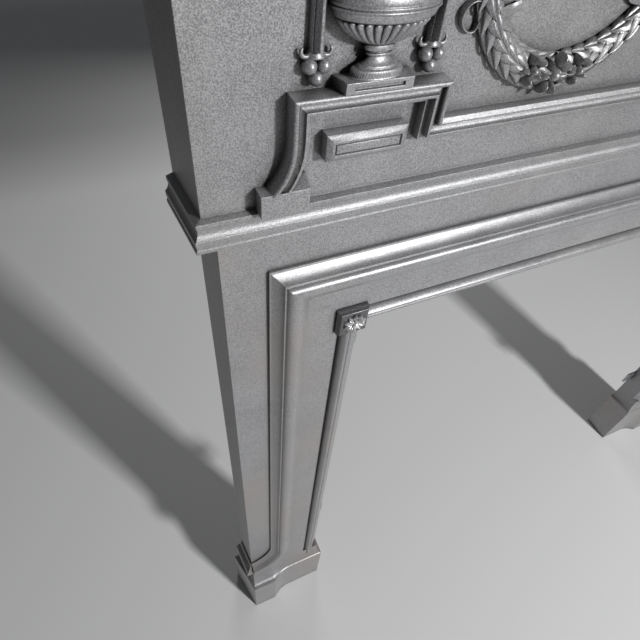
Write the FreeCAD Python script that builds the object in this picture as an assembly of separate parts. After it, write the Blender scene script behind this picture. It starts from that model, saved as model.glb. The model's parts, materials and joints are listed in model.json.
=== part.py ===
import FreeCAD, Part
import math
import os

Vec = FreeCAD.Vector

# Opening and main sizes, mm. The front faces -Y, the wall plane is the +Y side, the hearth is Z = 0.
OPENING_W = 914.0          # clear width between the legs
OPENING_H = 863.0          # hearth to the underside of the header
FLAT_W = 38.0              # plain flat down the outside of each leg
BAND_W = 97.0              # bolection, sunk panel and lip, from the flat to the opening
LIP_W = 31.0               # groove and lip beside the opening, part of that band
FASCIA_H = 48.0            # plain fascia between the bolection and the frieze
LEG_DEPTH = 45.0           # wall to the outer flat
IRON_T = 7.0               # usual thickness of the castings
SIDE_DRAFT = 4.0           # how far the leg's side spreads from front to wall
FRIEZE_OUT = 11.0          # frieze face in front of the outer flat, and past the leg's side
FRIEZE_H = 280.0           # bottom of the entablature moulding to the underside of the shelf
CORNICE_H = 26.0           # cornice under the shelf
RETURN_SPLAY = 4.5         # degrees by which the frieze's sides spread towards the wall
SHELF_FRONT_OVER = 84.0    # shelf past the frieze face
SHELF_END_OVER = 92.0      # shelf past the frieze's corner
SHELF_T = 10.0
SHELF_RIM = 14.0           # width of the shelf's moulded rim

# Foot of the leg
PLINTH_H = 129.0           # hearth to the plinth's arris
FLARE_H = 43.0             # cavetto above the arris
PLINTH_OUT = 30.0          # deep left part of the plinth in front of the outer flat
PLINTH_STEP = 16.2         # shallow part beside the opening
PLINTH_S_FROM = 37.5       # where the hollow in plan leaves the deep part, from the leg's outer corner
PLINTH_S_TO = 73.0         # where it reaches the shallow part
PLINTH_SIDE = 5.5          # plinth past the leg's side at the front
PLINTH_WING = 19.0         # further spread of the plinth's side at the wall
PLINTH_REVEAL = 9.0        # plinth past the leg's edge into the opening
TURN_X = -14.0             # centre of the bolection's turn at the foot, from the leg's outer corner
TURN_Z = 264.0             # height of that centre
FLOOR_T = 8.0              # bottom plate of the foot
ARRIS_FILLET = 4.0         # straight band between the arris and the cavetto

# Frieze ornament, X from the leg's outer corner and Z from the bottom of the frieze casting
PEDESTAL_LEFT = 45.8
PEDESTAL_W = 104.2
PEDESTAL_TOP = 96.5
RIM_OVER = 0.2             # rim above the pedestal's frame
STRING_TOP = 69.9          # top of the moulding that runs between the pedestals
SWEEP_R = 46.0             # radius of the frame's sweep on to the base block
SWEEP_TOP = 70.0           # where the sweep leaves the pedestal's side
SWEEP_TURN = 58.0          # degrees of sweep, before it is cut off by the base block
BASE_BLOCK_L = 25.5
BASE_BLOCK_R = 58.9
BASE_BLOCK_LOW = 22.0
BASE_BLOCK_TOP = 38.7
BASE_BLOCK_OUT = 12.4
BASE_RAMP_L = 13.0         # weathered slope on the block's right end
BASE_RAMP_H = 6.0
BASE_RAMP_OUT = 3.0        # top of the slope in front of the frieze face
TABLET_HALF = 28.5         # tablet on the pedestal, either side of the urn's axis
TABLET_LOW = 53.5
TABLET_TOP = 71.0
TABLET_EDGE = 8.7          # tablet's edge in front of the frieze face
TABLET_OUT = 11.0          # top of its bevel
TABLET_BEVEL = 3.0
TABLET_LAND = 1.8          # flat round the sunk field
TABLET_FIELD = 9.0         # sunk field inside the land
URN_X = PEDESTAL_LEFT + PEDESTAL_W / 2
URN_BLOCK_H = 6.7
URN_BLOCK_OUT = 14.0
URN_BLOCK_HALF = 22.0      # half length of the urn's block at the front
URN_BLOCK_SPLAY = 3.0      # how much longer it is at the frieze face
URN_SLOT_HALF = 16.0       # sunk slot in the front of the block
URN_SLOT_H = 1.8
URN_SLOT_DEPTH = 1.2
URN_AXIS_OUT = 6.2         # urn's axis in front of the frieze face
URN_RELIEF = 0.48          # depth of the urn against its width
URN_LOBES = 20
LOBE_LOW = 18.3            # gadroons start, above the urn's block
LOBE_TOP = 30.8            # gadroons end
LOBE_LOW_R = 9.0
LOBE_TOP_R = 26.0
HANDLE_X = 20.5            # ring handles from the urn's axis
HANDLE_UP = 51.8           # their height above the block
HANDLE_R = 7.0
HANDLE_TUBE = 2.2
HANDLE_OUT = 1.5
URN_SCREW_UP = 32.8        # urn's lower screw above the block
URN_SCREW_STEP = 16.0
DROP_STEP = 36.9           # drop from the urn's axis
DROP_LOW = 118.0           # foot of the drop's bar
DROP_TOP_DOWN = 48.0       # top of the bar below the cornice
DROP_HALF = 3.9
DROP_OUT = 9.6             # ridge of the bar at its foot
DROP_SIDE = 4.6            # edge of the bar
DROP_TAPER = 1.2           # how much narrower and lower the bar is at its top
RIDGE_HALF = 0.9
HUSK_R = 6.1
HUSK_H = 5.0
HUSK_DOWN = 3.5
BUTTON_R = 8.0             # round button that the drop hangs from
BERRY_R = 4.4
BERRY_OUT = 3.6
BERRY_PLACES = [(-0.92, -1.55), (0.92, -1.55), (0.0, -3.0)]
WREATH_X = 239.0
WREATH_TOP_GAP = 9.0       # wreath below the cornice
WREATH_FOOT_GAP = 9.1      # wreath above the string moulding
WREATH_THICK = 12.0
LOOP_TUBE = 2.6            # ribbon of the loops beside the wreath
LOOPS = [(14.0, 22.0, 8.5), (-9.0, 31.0, 7.0)]

# Fixings
M8_R = 4.0
M6_R = 3.0
M5_R = 2.5
CLEARANCE = 0.4
LUG_T = 4.0
LUG_W = 30.0
LUG_REACH = 28.0           # lug past the leg's edge, into the opening
LUG_HOLE_R = 4.5
LUG_HOLE_IN = 14.0         # lug hole from the leg's edge
LUG_LOW = 230.0            # height of the lower pair of lugs
LUG_TOP_DOWN = 83.0        # upper pair below the header
LUG_BOSS = 18.0            # boss for the lug's screw, from the wall
LUG_NOTCH = 40.0           # recess for the lug, from the leg's edge
CORNER_PLATE_T = 5.0
CORNER_PLATE_FROM = 20.0   # plate's edge from the outer flat
CORNER_PLATE_END = 16.0    # plate past its last screw
RIB_IN = 6.0               # rib behind the groove, from the panel's edge
BOLT_END_IN = 27.0         # outer frieze bolts inside the opening's edge
SHELF_SCREW_IN = 123.0     # outer shelf screws inside the frieze's corner
FLANGE_FIXINGS = 4         # bolts or screws along each flange
EAR_END = 60.0             # ear of the frieze return, from both ends of the frieze
EAR_SCREW_IN = 20.0        # its screws from the ear's ends
EAR_W = 34.0
WASHER_T = 1.6
FRIEZE_LUG_W = 90.0        # bolt lugs along the foot of the frieze
BOLT_LENGTH = 34.0
BOLT_HEAD_H = 5.3
NUT_H = 6.5
ROSETTE_HALF = 15.6
ROSETTE_IN = 18.6          # rosette's centre from the opening's side
ROSETTE_UP = 20.6          # and from the opening's top
ROSETTE_OUT = 16.5         # front of its block in front of the outer flat
ROSETTE_BEVEL = 2.0
ROSETTE_EDGE = 4.0
PETALS = 10
PETAL_R = 11.5
PETAL_OUT = 4.2
PETAL_BOSS_R = 4.6
PETAL_BOSS_OUT = 5.6
ROSETTE_SCREW_STEP = 6.0   # its screws either side of the mitre
REACH = 400.0              # how far cutting shapes run past a casting

# Sizes that follow
LEG_W = FLAT_W + BAND_W
BODY_HALF = OPENING_W / 2 + LEG_W
BOLECTION_TOP = OPENING_H + BAND_W
HEADER_TOP = BOLECTION_TOP + FASCIA_H
FRIEZE_TOP = HEADER_TOP + FRIEZE_H
FRIEZE_HALF = BODY_HALF + FRIEZE_OUT
FRIEZE_FRONT = LEG_DEPTH + FRIEZE_OUT
MITRE = BOLECTION_TOP + FLAT_W
FLARE_TOP = PLINTH_H + FLARE_H
TURN_R = FLAT_W - TURN_X
SHELF_DEPTH = FRIEZE_FRONT + SHELF_FRONT_OVER
SHELF_LENGTH = 2 * (FRIEZE_HALF + SHELF_END_OVER)
SHELF_TOP = FRIEZE_TOP + SHELF_T
CORNICE_Z = FRIEZE_H - CORNICE_H
WREATH_R = (CORNICE_Z - STRING_TOP - WREATH_TOP_GAP - WREATH_FOOT_GAP) / 2 - WREATH_THICK
WREATH_Z = CORNICE_Z - WREATH_TOP_GAP - WREATH_THICK - WREATH_R
DROP_TOP = CORNICE_Z - DROP_TOP_DOWN
BACK_Y = SHELF_DEPTH / 2
LUG_ROWS = (LUG_LOW, OPENING_H - LUG_TOP_DOWN)
PANEL_OUT = 8.5            # sunk panel in front of the outer flat
PANEL_BACK = 1.5           # back of the front plate behind that panel
PANEL_FROM = 38.0
PANEL_TO = BAND_W - LIP_W
GROOVE_OUT = 4.5
CORNER_SEAT = LEG_DEPTH + PANEL_BACK
CORNER_TIP = CORNER_SEAT + 5.0
CORNER_PLATE_W = PANEL_TO - RIB_IN - CORNER_PLATE_FROM
ROSETTE_SEAT = LEG_DEPTH + GROOVE_OUT
ROSETTE_TOP = LEG_DEPTH + ROSETTE_OUT

# Leg and header moulding: inset from the outer flat's edge and height above the flat.
# Two numbers are a line to that point, four are an arc through the first pair to the second.
BOLECTION = [
    (0.0, 0.0),
    (0.0, 2.2),
    (1.2, 2.2),
    (8.2, 3.9, 12.3, 8.5),
    (14.3, 8.5),
    (17.2, 11.6, 25.5, 12.8),
    (28.6, 12.1, 30.0, 10.4),
    (32.5, 10.4),
    (32.5, 9.6),
    (36.5, 9.6),
    (PANEL_FROM, PANEL_OUT),
]
LIP = [
    (PANEL_TO, GROOVE_OUT),
    (PANEL_TO + 3.5, GROOVE_OUT),
    (BAND_W - 17.0, 10.2),
    (BAND_W - 14.4, 10.9, BAND_W - 12.6, 9.2),
    (BAND_W, -4.0),
]
HOLLOW_FRONT = [
    (BAND_W - IRON_T, -IRON_T),
    (BAND_W - 14.0, PANEL_BACK),
    (BAND_W - 24.0, -2.0),
    (PANEL_TO - RIB_IN + 2.0, -2.0),
    (PANEL_TO - RIB_IN, PANEL_BACK),
    (14.0, PANEL_BACK),
    (0.0, -IRON_T),
]

# Frieze mouldings: height out from the frieze face, and Z
LEDGE = [
    (0.0, 0.0),
    (7.3, 0.0),
    (7.3, 2.4),
    (6.7, 3.0),
    (6.7, 5.4),
    (7.2, 6.0),
    (7.2, 9.7),
    (4.9, 13.0, 4.4, 17.6),
    (5.0, 18.2),
    (5.0, 21.4),
    (0.0, 23.2),
]
CORNICE = [
    (0.0, CORNICE_Z),
    (1.5, CORNICE_Z + 1.5),
    (1.5, CORNICE_Z + 4.0),
    (4.6, CORNICE_Z + 14.8, 18.0, CORNICE_Z + 19.0),
    (20.0, CORNICE_Z + 19.0),
    (20.0, FRIEZE_H),
]

# Raised frame of the frieze: inset from its outer edge, and height above the frieze face.
# The rim follows the pedestals only, the rest runs on along the string.
FRAME = [
    (0.0, -2.0),
    (0.0, 7.5),
    (3.0, 9.2),
    (3.6, 8.6),
    (4.6, 9.4),
    (6.6, 10.3, 7.8, 12.3),
    (9.4, 12.3),
    (9.6, 7.2),
    (13.0, 7.2),
    (13.1, -2.0),
]
RIM = [
    (-RIM_OVER, -3.0),
    (-RIM_OVER, 12.2),
    (1.5, 13.4, 3.2, 12.2),
    (3.2, -3.0),
]

# Urn: radius and height above its block
URN_PROFILE = [
    (0.0, 0.0),
    (16.2, 0.0),
    (16.2, 4.6),
    (12.6, 6.2),
    (7.6, 8.0, 6.3, 11.6),
    (6.6, 13.6),
    (9.2, 13.9),
    (9.2, 16.6),
    (7.0, 17.4),
    (7.0, 19.5),
    (10.0, 19.5),
    (26.0, 29.0),
    (30.0, 31.0),
    (31.5, 35.4),
    (32.4, 37.4, 31.2, 40.4),
    (28.0, 48.0, 14.0, 55.4),
    (11.0, 60.4, 16.0, 65.4),
    (16.0, 68.4),
    (12.5, 75.4, 4.0, 79.4),
    (5.8, 84.0, 0.0, 88.4),
]


def at(x, proud, z):
    """Point at X, a distance in front of the wall, and a height."""
    return Vec(x, BACK_Y - proud, z)


def leg_at(u, out, z):
    """Point of the left leg: inset from the flat's edge, height above the flat, and Z."""
    return at(u + FLAT_W - BODY_HALF, LEG_DEPTH + out, z)


def run_edges(profile, place):
    """Edges along a profile of lines and arcs."""
    edges = []
    here = place(*profile[0])
    for step in profile[1:]:
        end = place(*step[-2:])
        if len(step) == 4:
            edges.append(Part.Arc(here, place(*step[:2]), end).toShape())
        else:
            edges.append(Part.makeLine(here, end))
        here = end
    return edges


def closed_wire(profile, place):
    """Closed wire of a profile, with a line from its end back to its start."""
    return Part.Wire(run_edges(profile + [profile[0][-2:]], place))


def closed_face(profile, place):
    """Plane face inside a profile."""
    return Part.Face(closed_wire(profile, place))


def block(x0, x1, front, back, z0, z1):
    """Upright block between two X values, two distances from the wall and two heights."""
    return Part.makeBox(x1 - x0, front - back, z1 - z0, at(x0, front, z0))


def prism_plan(points, z0, z1):
    """Prism over a plan outline of X and distance from the wall."""
    return closed_face(points, lambda x, p: at(x, p, z0)).extrude(Vec(0, 0, z1 - z0))


def prism_front(points, front, back):
    """Prism behind a front outline of X and Z."""
    return closed_face(points, lambda x, z: at(x, front, z)).extrude(Vec(0, front - back, 0))


def join(shapes):
    """One casting from overlapping shapes."""
    return shapes[0].multiFuse(shapes[1:]).removeSplitter()


def mirrored(shape):
    """The same piece on the other side of the centre line."""
    return shape.mirror(Vec(0, 0, 0), Vec(1, 0, 0))


def both(shape):
    """A shape and its mirror image as separate solids."""
    return Part.makeCompound([shape, mirrored(shape)])


def rod(x, front, back, z, radius):
    """Round rod or hole from a distance in front of the wall back to another."""
    return Part.makeCylinder(radius, front - back, at(x, front, z), Vec(0, 1, 0))


def hex_prism(radius, height, base, axis):
    """Hexagon prism of a given half width across flats, standing on a point along an axis."""
    side = Vec(1, 0, 0)
    other = axis.cross(side)
    corner = radius / math.cos(math.pi / 6)
    points = []
    for i in range(7):
        turn = math.radians(60 * i)
        points.append(base + side * (corner * math.cos(turn)) + other * (corner * math.sin(turn)))
    return Part.Face(Part.makePolygon(points)).extrude(axis * height)


def set_screw(x, seat, tip, z, radius):
    """Hexagon screw driven forward from the back: head behind the seat, shank to the tip."""
    head = hex_prism(radius * 1.65, radius * 1.3, at(x, seat, z), Vec(0, 1, 0))
    return head.fuse(rod(x, tip, seat, z, radius)).removeSplitter()


# Leg
def mitre_keep():
    """Space below the left corner's mitre, the leg's side of the joint."""
    left = -BODY_HALF
    far = left - REACH
    points = [(far, MITRE + REACH), (left + MITRE, 0.0), (left + MITRE, -REACH), (far, -REACH)]
    return prism_front(points, LEG_DEPTH + REACH, -REACH)


def leg_upper():
    """Hollow leg above the foot: outer flat, bolection, panel and lip, mitred at the top."""
    section = [(-FLAT_W - SIDE_DRAFT, -LEG_DEPTH), (-FLAT_W, 0.0)]
    section = section + BOLECTION + [(PANEL_TO, PANEL_OUT)] + LIP
    section = section + [(BAND_W, -LEG_DEPTH), (BAND_W - IRON_T, -LEG_DEPTH)] + HOLLOW_FRONT
    section = section + [(-FLAT_W + IRON_T, -IRON_T), (-FLAT_W - SIDE_DRAFT + IRON_T, -LEG_DEPTH)]
    face = closed_face(section, lambda u, out: leg_at(u, out, TURN_Z))
    return face.extrude(Vec(0, 0, MITRE + FLAT_W - TURN_Z)).common(mitre_keep())


def leg_side_top():
    """Side wall carried past the mitre to the underside of the header's flange."""
    slope = SIDE_DRAFT * IRON_T / LEG_DEPTH
    points = [
        (-FLAT_W - SIDE_DRAFT, -LEG_DEPTH),
        (-FLAT_W - slope, -IRON_T),
        (-FLAT_W + IRON_T, -IRON_T),
        (-FLAT_W - SIDE_DRAFT + IRON_T, -LEG_DEPTH),
    ]
    face = closed_face(points, lambda u, out: leg_at(u, out, TURN_Z))
    return face.extrude(Vec(0, 0, HEADER_TOP - IRON_T - TURN_Z))


def plinth_wire(k, z):
    """Plan outline of the foot between the panel above (k = 0) and the plinth (k = 1)."""
    left = -BODY_HALF
    deep = LEG_DEPTH + PANEL_OUT + (PLINTH_OUT - PANEL_OUT) * k
    shallow = LEG_DEPTH + PANEL_OUT + (PLINTH_STEP - PANEL_OUT) * k
    right = left + LEG_W + PLINTH_REVEAL * k
    back_left = at(left - SIDE_DRAFT - PLINTH_WING * k, 0.0, z)
    front_left = at(left - PLINTH_SIDE * k, deep, z)
    curve_points = []
    for i in range(7):
        t = i / 6.0
        x = left + PLINTH_S_FROM + (PLINTH_S_TO - PLINTH_S_FROM) * t
        curve_points.append(at(x, shallow + (deep - shallow) * (1 - t) ** 2, z))
    curve = Part.BSplineCurve()
    curve.interpolate(curve_points)
    front_right = at(right, shallow, z)
    back_right = at(right, 0.0, z)
    edges = [
        Part.makeLine(back_left, front_left),
        Part.makeLine(front_left, curve_points[0]),
        curve.toShape(),
        Part.makeLine(curve_points[-1], front_right),
        Part.makeLine(front_right, back_right),
        Part.makeLine(back_right, back_left),
    ]
    return Part.Wire(edges)


def plinth():
    """Straight plinth with its hollowed front and the cavetto flare above it."""
    wires = []
    for t in (0.0, 0.35, 0.6, 0.78, 0.9, 0.97, 1.0):
        wires.append(plinth_wire(0.96 * (1 - math.sqrt(1 - t * t)), FLARE_TOP - (FLARE_H - ARRIS_FILLET) * t))
    flare = Part.makeLoft(wires, True, True)
    base = Part.Face(plinth_wire(1.0, 0.0)).extrude(Vec(0, 0, PLINTH_H + ARRIS_FILLET))
    return [flare, base]


def foot_core():
    """Flat and lip of the leg between the flare and the level where the bolection turns."""
    section = [(-FLAT_W - SIDE_DRAFT, -LEG_DEPTH), (-FLAT_W, 0.0), (PANEL_TO, 0.0)] + LIP
    section = section + [(BAND_W, -LEG_DEPTH)]
    face = closed_face(section, lambda u, out: leg_at(u, out, FLARE_TOP))
    return face.extrude(Vec(0, 0, TURN_Z - FLARE_TOP))


def foot_panel():
    """Panel level inside the bolection's turn, down to the flare."""
    outer = TURN_R + PANEL_FROM
    drop = math.sqrt(outer * outer - TURN_X * TURN_X)
    mid = math.radians(-45)
    left = -BODY_HALF
    points = [
        (left + TURN_X + outer, TURN_Z),
        (left + FLAT_W + PANEL_TO, TURN_Z),
        (left + FLAT_W + PANEL_TO, FLARE_TOP),
        (left, FLARE_TOP),
        (left, TURN_Z - drop),
        (left + TURN_X + outer * math.cos(mid), TURN_Z + outer * math.sin(mid),
         left + TURN_X + outer, TURN_Z),
    ]
    edges = run_edges(points, lambda x, z: at(x, LEG_DEPTH + PANEL_OUT, z))
    return Part.Face(Part.Wire(edges)).extrude(Vec(0, PANEL_OUT + 1.0, 0))


def corner_wedge(side):
    """Space in front of (side 1) or beside (side -1) the vertical mitre at the leg's outer corner."""
    left = -BODY_HALF
    start = (left + REACH, LEG_DEPTH - REACH)
    end = (left - REACH, LEG_DEPTH + REACH)
    third = (left + side * REACH, LEG_DEPTH + side * REACH)
    return prism_plan([start, end, third], 0.0, BOLECTION_TOP)


def bolection_turn():
    """Bolection swept round the foot of the flat and returned along the leg's side to the wall."""
    profile = BOLECTION + [(PANEL_FROM, -3.0), (0.0, -3.0)]
    section = closed_face(profile, lambda u, out: leg_at(u, out, TURN_Z))
    centre = at(TURN_X - BODY_HALF, LEG_DEPTH, TURN_Z)
    front = section.revolve(centre, Vec(0, 1, 0), 90).common(corner_wedge(1))
    front = front.cut(block(-BODY_HALF - REACH, -BODY_HALF + REACH, LEG_DEPTH + REACH, 0, 0, FLARE_TOP - 4))
    past_front = 20.0
    reach = LEG_DEPTH + past_front
    start = -BODY_HALF + SIDE_DRAFT * past_front / LEG_DEPTH
    top = TURN_Z - TURN_R
    side_face = closed_face(profile, lambda u, out: at(start - out, reach, top - u))
    side = side_face.extrude(Vec(-SIDE_DRAFT * reach / LEG_DEPTH, reach, 0)).common(corner_wedge(-1))
    return [front, side]


def leg_hollows():
    """Open back of the foot and plinth."""
    left = -BODY_HALF
    upper = prism_plan(
        [
            (left - SIDE_DRAFT + IRON_T, -1.0),
            (left + IRON_T, LEG_DEPTH - IRON_T),
            (left + LEG_W - IRON_T, LEG_DEPTH - IRON_T),
            (left + LEG_W - IRON_T, -1.0),
        ],
        FLOOR_T,
        TURN_Z,
    )
    wall = IRON_T + 1.0
    lower = prism_plan(
        [
            (left - SIDE_DRAFT - PLINTH_WING + wall + 1.0, -1.0),
            (left + wall - PLINTH_SIDE, LEG_DEPTH + PLINTH_OUT - wall),
            (left + PLINTH_S_FROM - 6.0, LEG_DEPTH + PLINTH_OUT - wall),
            (left + PLINTH_S_TO - 4.0, LEG_DEPTH + PLINTH_STEP - wall),
            (left + LEG_W + PLINTH_REVEAL - wall, LEG_DEPTH + PLINTH_STEP - wall),
            (left + LEG_W + PLINTH_REVEAL - wall, -1.0),
        ],
        FLOOR_T,
        PLINTH_H - 12.0,
    )
    return [upper, lower]


def rosette_centre():
    """Centre of the corner rosette in X and Z, over the mitre."""
    return -OPENING_W / 2 - ROSETTE_IN, OPENING_H + ROSETTE_UP


def rosette_seat():
    """Square pocket for the corner rosette, cut through the lip of leg and header."""
    x, z = rosette_centre()
    half = ROSETTE_HALF + CLEARANCE
    return block(x - half, x + half, LEG_DEPTH + REACH, ROSETTE_SEAT, z - half, z + half)


def rosette_screw_places():
    """One screw in the leg and one in the header, either side of the mitre."""
    x, z = rosette_centre()
    step = ROSETTE_SCREW_STEP
    return [(x - step, z - step), (x + step, z + step)]


def corner_plate_places():
    """Screws of the left corner plate: two down the leg, two along the header."""
    left = -BODY_HALF
    middle = FLAT_W + CORNER_PLATE_FROM + CORNER_PLATE_W / 2
    return [
        (left + middle, OPENING_H - 30.0),
        (left + middle, OPENING_H + 5.0),
        (left + LEG_W - 5.0, MITRE - middle),
        (left + LEG_W + 30.0, MITRE - middle),
    ]


def lug_boss(z):
    """Boss inside the leg's inner wall that takes the lug's screw."""
    right = -OPENING_W / 2 - IRON_T + 1.0
    return block(right - 17.0, right, LUG_BOSS, LUG_T, z - LUG_W / 2, z + LUG_W / 2)


def lug_screw_place():
    """X of the screws that hold the lugs to the left leg."""
    return -OPENING_W / 2 - IRON_T - 8.0


def lug_notch(z):
    """Recess in the back edge of the leg's inner wall for one lug."""
    half = LUG_W / 2
    return block(-OPENING_W / 2 - LUG_NOTCH, -OPENING_W / 2 + 1.0, LUG_T, -1.0, z - half, z + half)


def left_leg():
    """Left leg in one hollow casting, with seats and tapped holes for what is fixed to it."""
    body = join([leg_upper(), leg_side_top(), foot_core(), foot_panel()] + bolection_turn() + plinth())
    cuts = leg_hollows() + [rosette_seat()] + [lug_notch(z) for z in LUG_ROWS]
    for x, z in corner_plate_places():
        cuts.append(rod(x, CORNER_TIP, CORNER_SEAT - 2.0, z, M6_R))
    for x, z in rosette_screw_places():
        cuts.append(rod(x, ROSETTE_TOP, LEG_DEPTH - IRON_T, z, M5_R + CLEARANCE))
    body = body.cut(Part.makeCompound(cuts))
    body = join([body] + [lug_boss(z) for z in LUG_ROWS])
    for z in LUG_ROWS:
        body = body.cut(rod(lug_screw_place(), LUG_BOSS - 3.0, 0.0, z, M6_R))
    return body


# Header
def header():
    """Header between the legs: fascia, bolection, panel and lip, with a flange on top."""
    section = [(-FASCIA_H, -LEG_DEPTH), (-FASCIA_H, 0.0)] + BOLECTION + [(PANEL_TO, PANEL_OUT)] + LIP
    section = section + [(BAND_W, -LEG_DEPTH), (BAND_W - IRON_T, -LEG_DEPTH)] + HOLLOW_FRONT
    section = section + [(-FASCIA_H + IRON_T, -IRON_T), (-FASCIA_H + IRON_T, -LEG_DEPTH)]
    start = -BODY_HALF
    face = closed_face(section, lambda u, out: at(start, LEG_DEPTH + out, BOLECTION_TOP - u))
    body = face.extrude(Vec(2 * BODY_HALF, 0, 0))
    cuts = [mitre_keep(), rosette_seat()]
    for x, z in corner_plate_places():
        cuts.append(rod(x, CORNER_TIP, CORNER_SEAT - 2.0, z, M6_R))
    for x, z in rosette_screw_places():
        cuts.append(rod(x, ROSETTE_TOP, LEG_DEPTH - IRON_T, z, M5_R + CLEARANCE))
    for shape in cuts:
        body = body.cut(both(shape))
    for x, p in frieze_bolt_places():
        body = body.cut(flange_hole(x, p, HEADER_TOP))
    return body


# Frieze
def shell_profile():
    """Front plate of the frieze with its ledge moulding and cornice: height out from the face, and Z."""
    return LEDGE + CORNICE + [(-IRON_T, FRIEZE_H), (-IRON_T, 0.0)]


def swept_shell():
    """Frieze front and both sides swept in one, to be parted at the corners."""
    splay = math.radians(RETURN_SPLAY)
    away = Vec(-math.sin(splay), math.cos(splay), 0)
    corner = at(-FRIEZE_HALF, FRIEZE_FRONT, HEADER_TOP)
    past_wall = 20.0
    start = corner + away * ((FRIEZE_FRONT + past_wall) / math.cos(splay))
    other = Vec(-corner.x, corner.y, corner.z)
    finish = Vec(-start.x, start.y, start.z)
    path = Part.makePolygon([start, corner, other, finish])
    outward = Vec(-math.cos(splay), -math.sin(splay), 0)
    wire = closed_wire(shell_profile(), lambda out, z: start + outward * out + Vec(0, 0, z))
    shell = path.makePipeShell([wire], True, False, 1)
    reach = FRIEZE_HALF + REACH
    return shell.cut(block(-reach, reach, 0.0, -REACH, HEADER_TOP - REACH, FRIEZE_TOP + REACH))


def return_keep():
    """Space on the left return's side of the corner mitre."""
    splay = math.radians(RETURN_SPLAY)
    corner = at(-FRIEZE_HALF, FRIEZE_FRONT, HEADER_TOP - REACH)
    inward = Vec(1 - math.sin(splay), math.cos(splay), 0)
    inward.normalize()
    first = corner - inward * REACH
    second = corner + inward * REACH
    third = Vec(first.x - REACH, second.y, first.z)
    face = Part.Face(Part.makePolygon([first, second, third, first]))
    return face.extrude(Vec(0, 0, FRIEZE_H + 2 * REACH))


def spread(half):
    """X of the fixings along a flange, evenly spaced over a half width either side."""
    gaps = FLANGE_FIXINGS - 1
    return [half * (2 * i / gaps - 1) for i in range(FLANGE_FIXINGS)]


def frieze_bolt_places():
    """Bolts through the frieze's lugs and the header's top flange: X and distance from the wall."""
    return [(x, LEG_DEPTH / 2) for x in spread(OPENING_W / 2 - BOLT_END_IN)]


def flange_hole(x, p, z):
    """Clearance hole up through the flanges that meet at a height."""
    past = 3 * IRON_T
    return Part.makeCylinder(M8_R + CLEARANCE, 2 * past, at(x, p, z - past))


def shelf_screw_places():
    """Screws up through the frieze's top flange into the shelf."""
    return [(x, LEG_DEPTH / 2) for x in spread(FRIEZE_HALF - SHELF_SCREW_IN)]


def return_screw_places():
    """Screws through the left return's ear into the back of the frieze: X and Z."""
    x = -FRIEZE_HALF + EAR_W - 10.0
    inset = EAR_END + EAR_SCREW_IN
    return [(x, HEADER_TOP + inset), (x, FRIEZE_TOP - inset)]


def ornament_x(x):
    """X in the row from a distance along the left half, measured from the leg's outer corner."""
    return x - BODY_HALF


def pedestal_path(end_z):
    """Outer edge of the frame on the left pedestal: sweep, side, top, and down to a height."""
    left = ornament_x(PEDESTAL_LEFT)
    right = left + PEDESTAL_W
    z_top = HEADER_TOP + PEDESTAL_TOP
    z_turn = HEADER_TOP + SWEEP_TOP
    centre = left - SWEEP_R
    places = []
    for part in (1.0, 0.5):
        angle = math.radians(SWEEP_TURN * part)
        places.append((centre + SWEEP_R * math.cos(angle), z_turn - SWEEP_R * math.sin(angle)))
    low, mid = places
    return [low, mid + (left, z_turn), (left, z_top), (right, z_top), (right, end_z)]


def frame_path():
    """Outer edge of the whole frame: left pedestal, string, right pedestal."""
    z_string = HEADER_TOP + STRING_TOP
    low, turn, first, second, third = pedestal_path(z_string)
    mid, end = turn[:2], turn[2:]
    path = [low, turn, first, second, third]
    path += [(-x, z) for x, z in (third, second, first, end)]
    return path + [(-mid[0], mid[1], -low[0], low[1])]


def swept_frame(profile, path):
    """Moulding swept along a path on the frieze face and cut off level with the base block."""
    edges = run_edges(path, lambda x, z: at(x, FRIEZE_FRONT, z))
    start = edges[0].Vertexes[0].Point
    angle = math.radians(SWEEP_TURN)
    side = Vec(math.cos(angle), 0, -math.sin(angle))
    wire = closed_wire(profile, lambda s, q: start + side * s + Vec(0, -q, 0))
    frame = Part.Wire(edges).makePipeShell([wire], True, False, 1)
    low = HEADER_TOP + BASE_BLOCK_TOP - 1.0
    return frame.cut(block(-BODY_HALF, BODY_HALF, FRIEZE_FRONT + REACH, 0, low - REACH, low))


def raised_frame():
    """Moulded frame over both pedestals and along the string, with a rim on the pedestals."""
    rim = swept_frame(RIM, pedestal_path(HEADER_TOP + STRING_TOP - 1.5))
    return [swept_frame(FRAME, frame_path()), rim, mirrored(rim)]


def pedestal_tablet():
    """Bevelled tablet on the left pedestal with a shallow sunk field."""
    x0 = ornament_x(URN_X - TABLET_HALF)
    x1 = ornament_x(URN_X + TABLET_HALF)
    z0 = HEADER_TOP + TABLET_LOW
    z1 = HEADER_TOP + TABLET_TOP

    def ring(inset, q):
        points = [(x0 + inset, z0 + inset), (x1 - inset, z0 + inset), (x1 - inset, z1 - inset),
                  (x0 + inset, z1 - inset)]
        return closed_wire(points, lambda x, z: at(x, FRIEZE_FRONT + q, z))

    land = TABLET_BEVEL + TABLET_LAND
    rings = [ring(0.0, -2.0), ring(0.0, TABLET_EDGE), ring(TABLET_BEVEL, TABLET_OUT)]
    field = [ring(land, TABLET_OUT + 0.5), ring(land + 1.0, TABLET_FIELD)]
    return Part.makeLoft(rings, True, True).cut(Part.makeLoft(field, True, True))


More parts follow.
